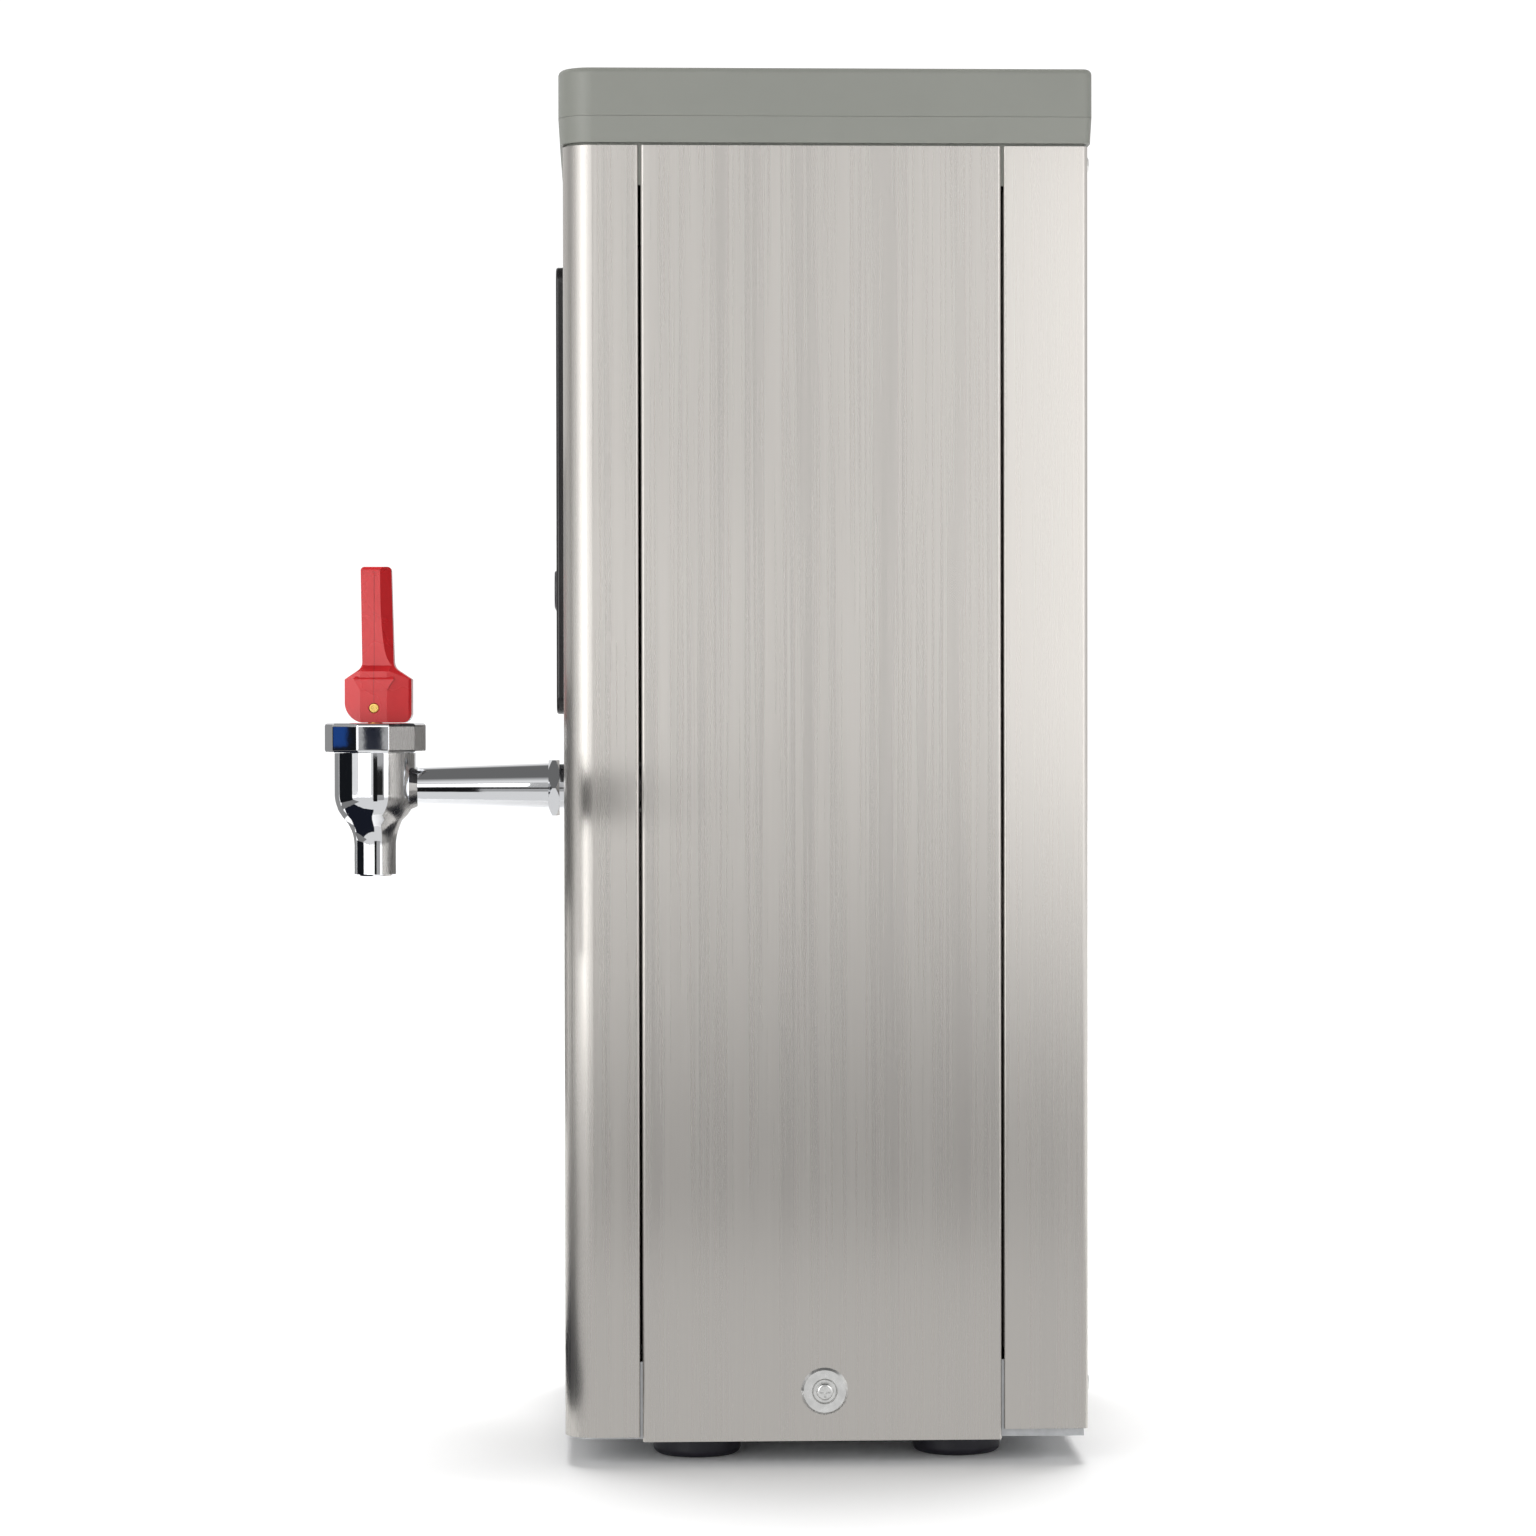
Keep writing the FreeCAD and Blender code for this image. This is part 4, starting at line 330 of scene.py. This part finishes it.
def brushed_steel(name="brushed_steel", tilt=0.0):
    """Stainless sheet with an upright brushed grain.

    tilt turns its normals a little along Y, as a flange springs.
    """
    f = Finish(name, STEEL, Metallic=1.0, Roughness=0.27, Anisotropic=0.92)
    around = f.tree.nodes.new("ShaderNodeTangent")
    around.direction_type = "RADIAL"
    around.axis = "Z"
    f.join(around.outputs[0], f.shader, "Tangent")
    fine = f.noise(900, (1, 1, 0.006), 4)
    wide = f.noise(160, (1, 1, 0.01), 3)
    streak = f.total(f.span(fine, 0.3, 0.7, -0.5, 0.5), f.span(wide, 0.3, 0.7, -0.5, 0.5))
    f.paint(f.blend(f.span(streak, -0.8, 0.8), shade(STEEL, GRAIN_DARK), shade(STEEL, GRAIN_LIGHT)))
    f.rough(f.span(streak, -0.8, 0.8, 0.25, 0.30))
    relief = f.bump(streak, GRAIN_RELIEF)
    if tilt:
        true = f.tree.nodes.new("ShaderNodeNewGeometry")
        lean = f.tree.nodes.new("ShaderNodeVectorMath")
        lean.inputs[1].default_value = (0, tilt, 0)
        unit = f.tree.nodes.new("ShaderNodeVectorMath")
        unit.operation = "NORMALIZE"
        f.join(true.outputs["Normal"], lean, 0)
        f.join(lean.outputs[0], unit, 0)
        f.join(unit.outputs[0], relief, "Normal")
    return f.material


def chrome():
    f = Finish("chrome", (0.80, 0.81, 0.83), Metallic=1.0, Roughness=0.05)
    f.rough(f.span(f.noise(60), 0.35, 0.7, 0.03, 0.07))
    f.bump(f.noise(120), 0.00002)
    return f.material


def moulded(name, colour, roughness, grain=2500, relief=0.00002):
    """Plastic or rubber with a fine grain and a slight cloudiness."""
    f = Finish(name, colour, Roughness=roughness)
    f.paint(f.blend(f.span(f.noise(18), 0.35, 0.65), shade(colour, 0.975), shade(colour, 1.02)))
    f.rough(f.span(f.noise(45), 0.3, 0.7, roughness - 0.05, roughness + 0.06))
    f.bump(f.noise(grain, detail=2), relief)
    return f.material


def metal(name, colour, roughness, stretch=(1, 1, 1)):
    f = Finish(name, colour, Metallic=1.0, Roughness=roughness)
    cloud = f.noise(300, stretch)
    f.paint(f.blend(f.span(cloud, 0.35, 0.65), shade(colour, 0.9), shade(colour, 1.06)))
    f.rough(f.span(cloud, 0.3, 0.7, roughness - 0.05, roughness + 0.08))
    f.bump(f.noise(1500, stretch), 0.00001)
    return f.material


def make_materials():
    finishes = {
        "brushed_steel": brushed_steel(),
        "chrome": chrome(),
        "galvanised_sheet": metal("galvanised_sheet", (0.48, 0.49, 0.50), 0.5),
        "lid_plastic": moulded("lid_plastic", (0.2, 0.206, 0.184), 0.42),
        "foot_rubber": moulded("foot_rubber", (0.012, 0.011, 0.02), 0.45),
        "lever_plastic": moulded("lever_plastic", (0.55, 0.018, 0.022), 0.28, relief=0.00001),
        "brass": metal("brass", (0.80, 0.55, 0.16), 0.2),
        "nickel_brass": metal("nickel_brass", (0.62, 0.60, 0.55), 0.25),
        "silicone": moulded("silicone", (0.75, 0.75, 0.72), 0.4),
        "fascia_plastic": moulded("fascia_plastic", (0.012, 0.011, 0.012), 0.15),
        "display_window": moulded("display_window", (0.01, 0.011, 0.013), 0.08),
        "button_plastic": moulded("button_plastic", (0.05, 0.05, 0.055), 0.4),
        "indicator_plastic": moulded("indicator_plastic", (0.7, 0.72, 0.7), 0.3),
        "black_plastic": moulded("black_plastic", (0.02, 0.02, 0.02), 0.5),
        "rocker_plastic": moulded("rocker_plastic", (0.018, 0.018, 0.02), 0.25),
        "circuit_board": moulded("circuit_board", (0.03, 0.16, 0.07), 0.4),
        "screw_steel": metal("screw_steel", (0.75, 0.75, 0.74), 0.22),
        "plate_aluminium": metal("plate_aluminium", (0.72, 0.72, 0.72), 0.35, (1, 1, 0.02)),
        "tank_steel": metal("tank_steel", (0.6, 0.6, 0.6), 0.3),
        "insulation_foam": moulded("insulation_foam", (0.6, 0.6, 0.58), 0.9, 600, 0.0003),
    }
    for part in frame["record"]["subparts"]:
        node = NODES[part["node"]]
        for index in range(len(node.material_slots)):
            node.material_slots[index].material = finishes[part["material_slot"]]
    NODES["rear_panel"].material_slots[0].material = brushed_steel("rear_steel", REAR_WRAP_TILT)


# ---------------------------------------------------------------- small pieces
def ribbons(name, strokes, normal, width, rise, finish, body):
    """Thin raised strips along strokes, which lie on a face with that normal."""
    form = bmesh.new()
    normal = Vector(normal)
    for stroke in strokes:
        points = [Vector(point) for point in stroke]
        rings = []
        for index, point in enumerate(points):
            before = points[max(index - 1, 0)]
            after = points[min(index + 1, len(points) - 1)]
            side = normal.cross(after - before).normalized() * width / 2
            crown = side * 0.8
            corners = (point - side - normal * rise, point - crown + normal * rise,
                       point + crown + normal * rise, point + side - normal * rise)
            rings.append([form.verts.new(corner) for corner in corners])
        for first, second in zip(rings, rings[1:]):
            for k in range(4):
                form.faces.new((first[k], second[k], second[(k + 1) % 4], first[(k + 1) % 4]))
        form.faces.new(rings[0])
        form.faces.new(rings[-1][::-1])
    bmesh.ops.recalc_face_normals(form, faces=form.faces)
    mesh = bpy.data.meshes.new(name)
    form.to_mesh(mesh)
    form.free()
    mesh.materials.append(finish)
    piece = bpy.data.objects.new(name, mesh)
    bpy.context.scene.collection.objects.link(piece)
    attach(piece, body)
    return piece


# Out from the lever's middle plane and up from its pin, in millimetres.
MOULD_LINE = ((6.5, 55.5), (7.38, 17.3), (10.5, 14.8), (10.52, 12.35),
              (11.1, 11.6), (11.1, 7.25), (10.5, 7.1), (10.5, 2.4))
MOULD_LINE_WIDTH = 0.2 * MM
FINE_RISE = 0.03 * MM       # how far a thin strip stands out of its face


def mould_lines(finish):
    """The parting line up the middle of each side of the lever."""
    pin = sum(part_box("lever_pin"), Vector()) / 2
    for side, label in ((1, "right"), (-1, "left")):
        line = [(side * x * MM, pin.y, pin.z + z * MM) for x, z in MOULD_LINE]
        ribbons("mould_line_" + label, [line], (side, 0, 0), MOULD_LINE_WIDTH, FINE_RISE, finish, "lever")


ARC_STEPS = 24


def arc(radius, start, end):
    turns = [radians(start + (end - start) * step / ARC_STEPS) for step in range(ARC_STEPS + 1)]
    return [(radius * cos(turn), radius * sin(turn)) for turn in turns]


def on_front(strokes, place):
    """Strokes in millimetres across and up, laid on a front face about place."""
    return [[(place.x + u * MM, place.y, place.z + v * MM) for u, v in stroke] for stroke in strokes]


SIGN_WIDTH = 0.7 * MM
SIGN_RISE = 0.04 * MM
WAVE_SWING, WAVE_HALF, WAVE_STEPS = 0.55, 2.6, 18      # the heat sign's wavy strokes


def button_signs(finish):
    """A printed sign on each button: power, heat, minus and plus."""
    wave = [(WAVE_SWING * sin(step * pi / 6), -WAVE_HALF + 2 * WAVE_HALF * step / WAVE_STEPS)
            for step in range(WAVE_STEPS + 1)]
    signs = {
        "power_button": [arc(2.7, 125, 415), [(0, 0.6), (0, 3.6)]],
        "heat_button": [[(u + shift, v) for u, v in wave] for shift in (-2.2, 0, 2.2)],
        "minus_button": [[(-2.8, 0), (2.8, 0)]],
        "plus_button": [[(-2.8, 0), (2.8, 0)], [(0, -2.8), (0, -0.35)], [(0, 0.35), (0, 2.8)]],
    }
    for button, strokes in signs.items():
        low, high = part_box(button)
        place = Vector(((low.x + high.x) / 2, low.y, (low.z + high.z) / 2))
        ribbons(button + "_sign", on_front(strokes, place), (0, -1, 0), SIGN_WIDTH, SIGN_RISE, finish, button)


SEGMENTS = {
    "a": ((-4, 9), (4, 9)), "b": ((4.6, 8.4), (4.6, 0.6)), "c": ((4.6, -0.6), (4.6, -8.4)),
    "d": ((-4, -9), (4, -9)), "e": ((-4.6, -0.6), (-4.6, -8.4)), "f": ((-4.6, 8.4), (-4.6, 0.6)),
    "g": ((-4, 0), (4, 0)),
}
READING = ("abcdfg", "acdfg")       # 9 and 5
FIGURE_PITCH = 17
FIGURES_SHIFT = -4
FIGURE_WIDTH = 1.7 * MM
UNLIT_RISE = 0.02 * MM
DEGREE_PLACE = (16, 7)
DEGREE_RADIUS = 2


def display_reading(lit, unlit):
    """Two seven-segment figures behind the window, their dark segments just visible, and a degree ring."""
    low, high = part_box("display_window")
    middle = Vector(((low.x + high.x) / 2, low.y, (low.z + high.z) / 2))
    on, off = [], []
    for figure, shown in enumerate(READING):
        shift = (figure - 0.5) * FIGURE_PITCH + FIGURES_SHIFT
        for key, (start, end) in SEGMENTS.items():
            stroke = [(shift + start[0], start[1]), (shift + end[0], end[1])]
            (on if key in shown else off).append(stroke)
    on.append([(DEGREE_PLACE[0] + u, DEGREE_PLACE[1] + v) for u, v in arc(DEGREE_RADIUS, 0, 360)])
    ribbons("display_lit", on_front(on, middle), (0, -1, 0), FIGURE_WIDTH, FINE_RISE, lit, "cabinet")
    ribbons("display_unlit", on_front(off, middle), (0, -1, 0), FIGURE_WIDTH, UNLIT_RISE, unlit, "cabinet")


PLATE_MARGIN = 3 * MM
PLATE_ROWS = 6
PLATE_COLUMN = 0.6          # where the line between its two columns stands
PLATE_LINE_WIDTH = 0.5 * MM


def plate_lines(finish):
    """Blank ruled fields on the rear plate, in place of its printing."""
    low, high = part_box("rating_plate")
    left, right = low.x + PLATE_MARGIN, high.x - PLATE_MARGIN
    top, bottom = high.z - PLATE_MARGIN, low.z + PLATE_MARGIN
    rows = [top + (bottom - top) * step / PLATE_ROWS for step in range(PLATE_ROWS + 1)]
    between = left * (1 - PLATE_COLUMN) + right * PLATE_COLUMN
    strokes = [[(left, high.y, z), (right, high.y, z)] for z in rows]
    strokes += [[(x, high.y, top), (x, high.y, bottom)] for x in (left, between, right)]
    ribbons("plate_lines", strokes, (0, 1, 0), PLATE_LINE_WIDTH, FINE_RISE, finish, "cabinet")


LIT_GLOW = 1.6


def make_pieces():
    mould_lines(moulded("mould_line", (0.22, 0.006, 0.01), 0.4))
    print_white = moulded("print_white", (0.72, 0.73, 0.72), 0.45)
    button_signs(print_white)
    lit = moulded("lit_segment", (0.5, 0.03, 0.02), 0.3)
    shader = lit.node_tree.nodes["Principled BSDF"]
    shader.inputs["Emission Color"].default_value = (1.0, 0.06, 0.03, 1)
    shader.inputs["Emission Strength"].default_value = LIT_GLOW
    display_reading(lit, moulded("unlit_segment", (0.03, 0.012, 0.012), 0.25))
    plate_lines(moulded("plate_print", (0.03, 0.03, 0.035), 0.5))


make_camera()
make_studio()
make_materials()
make_pieces()
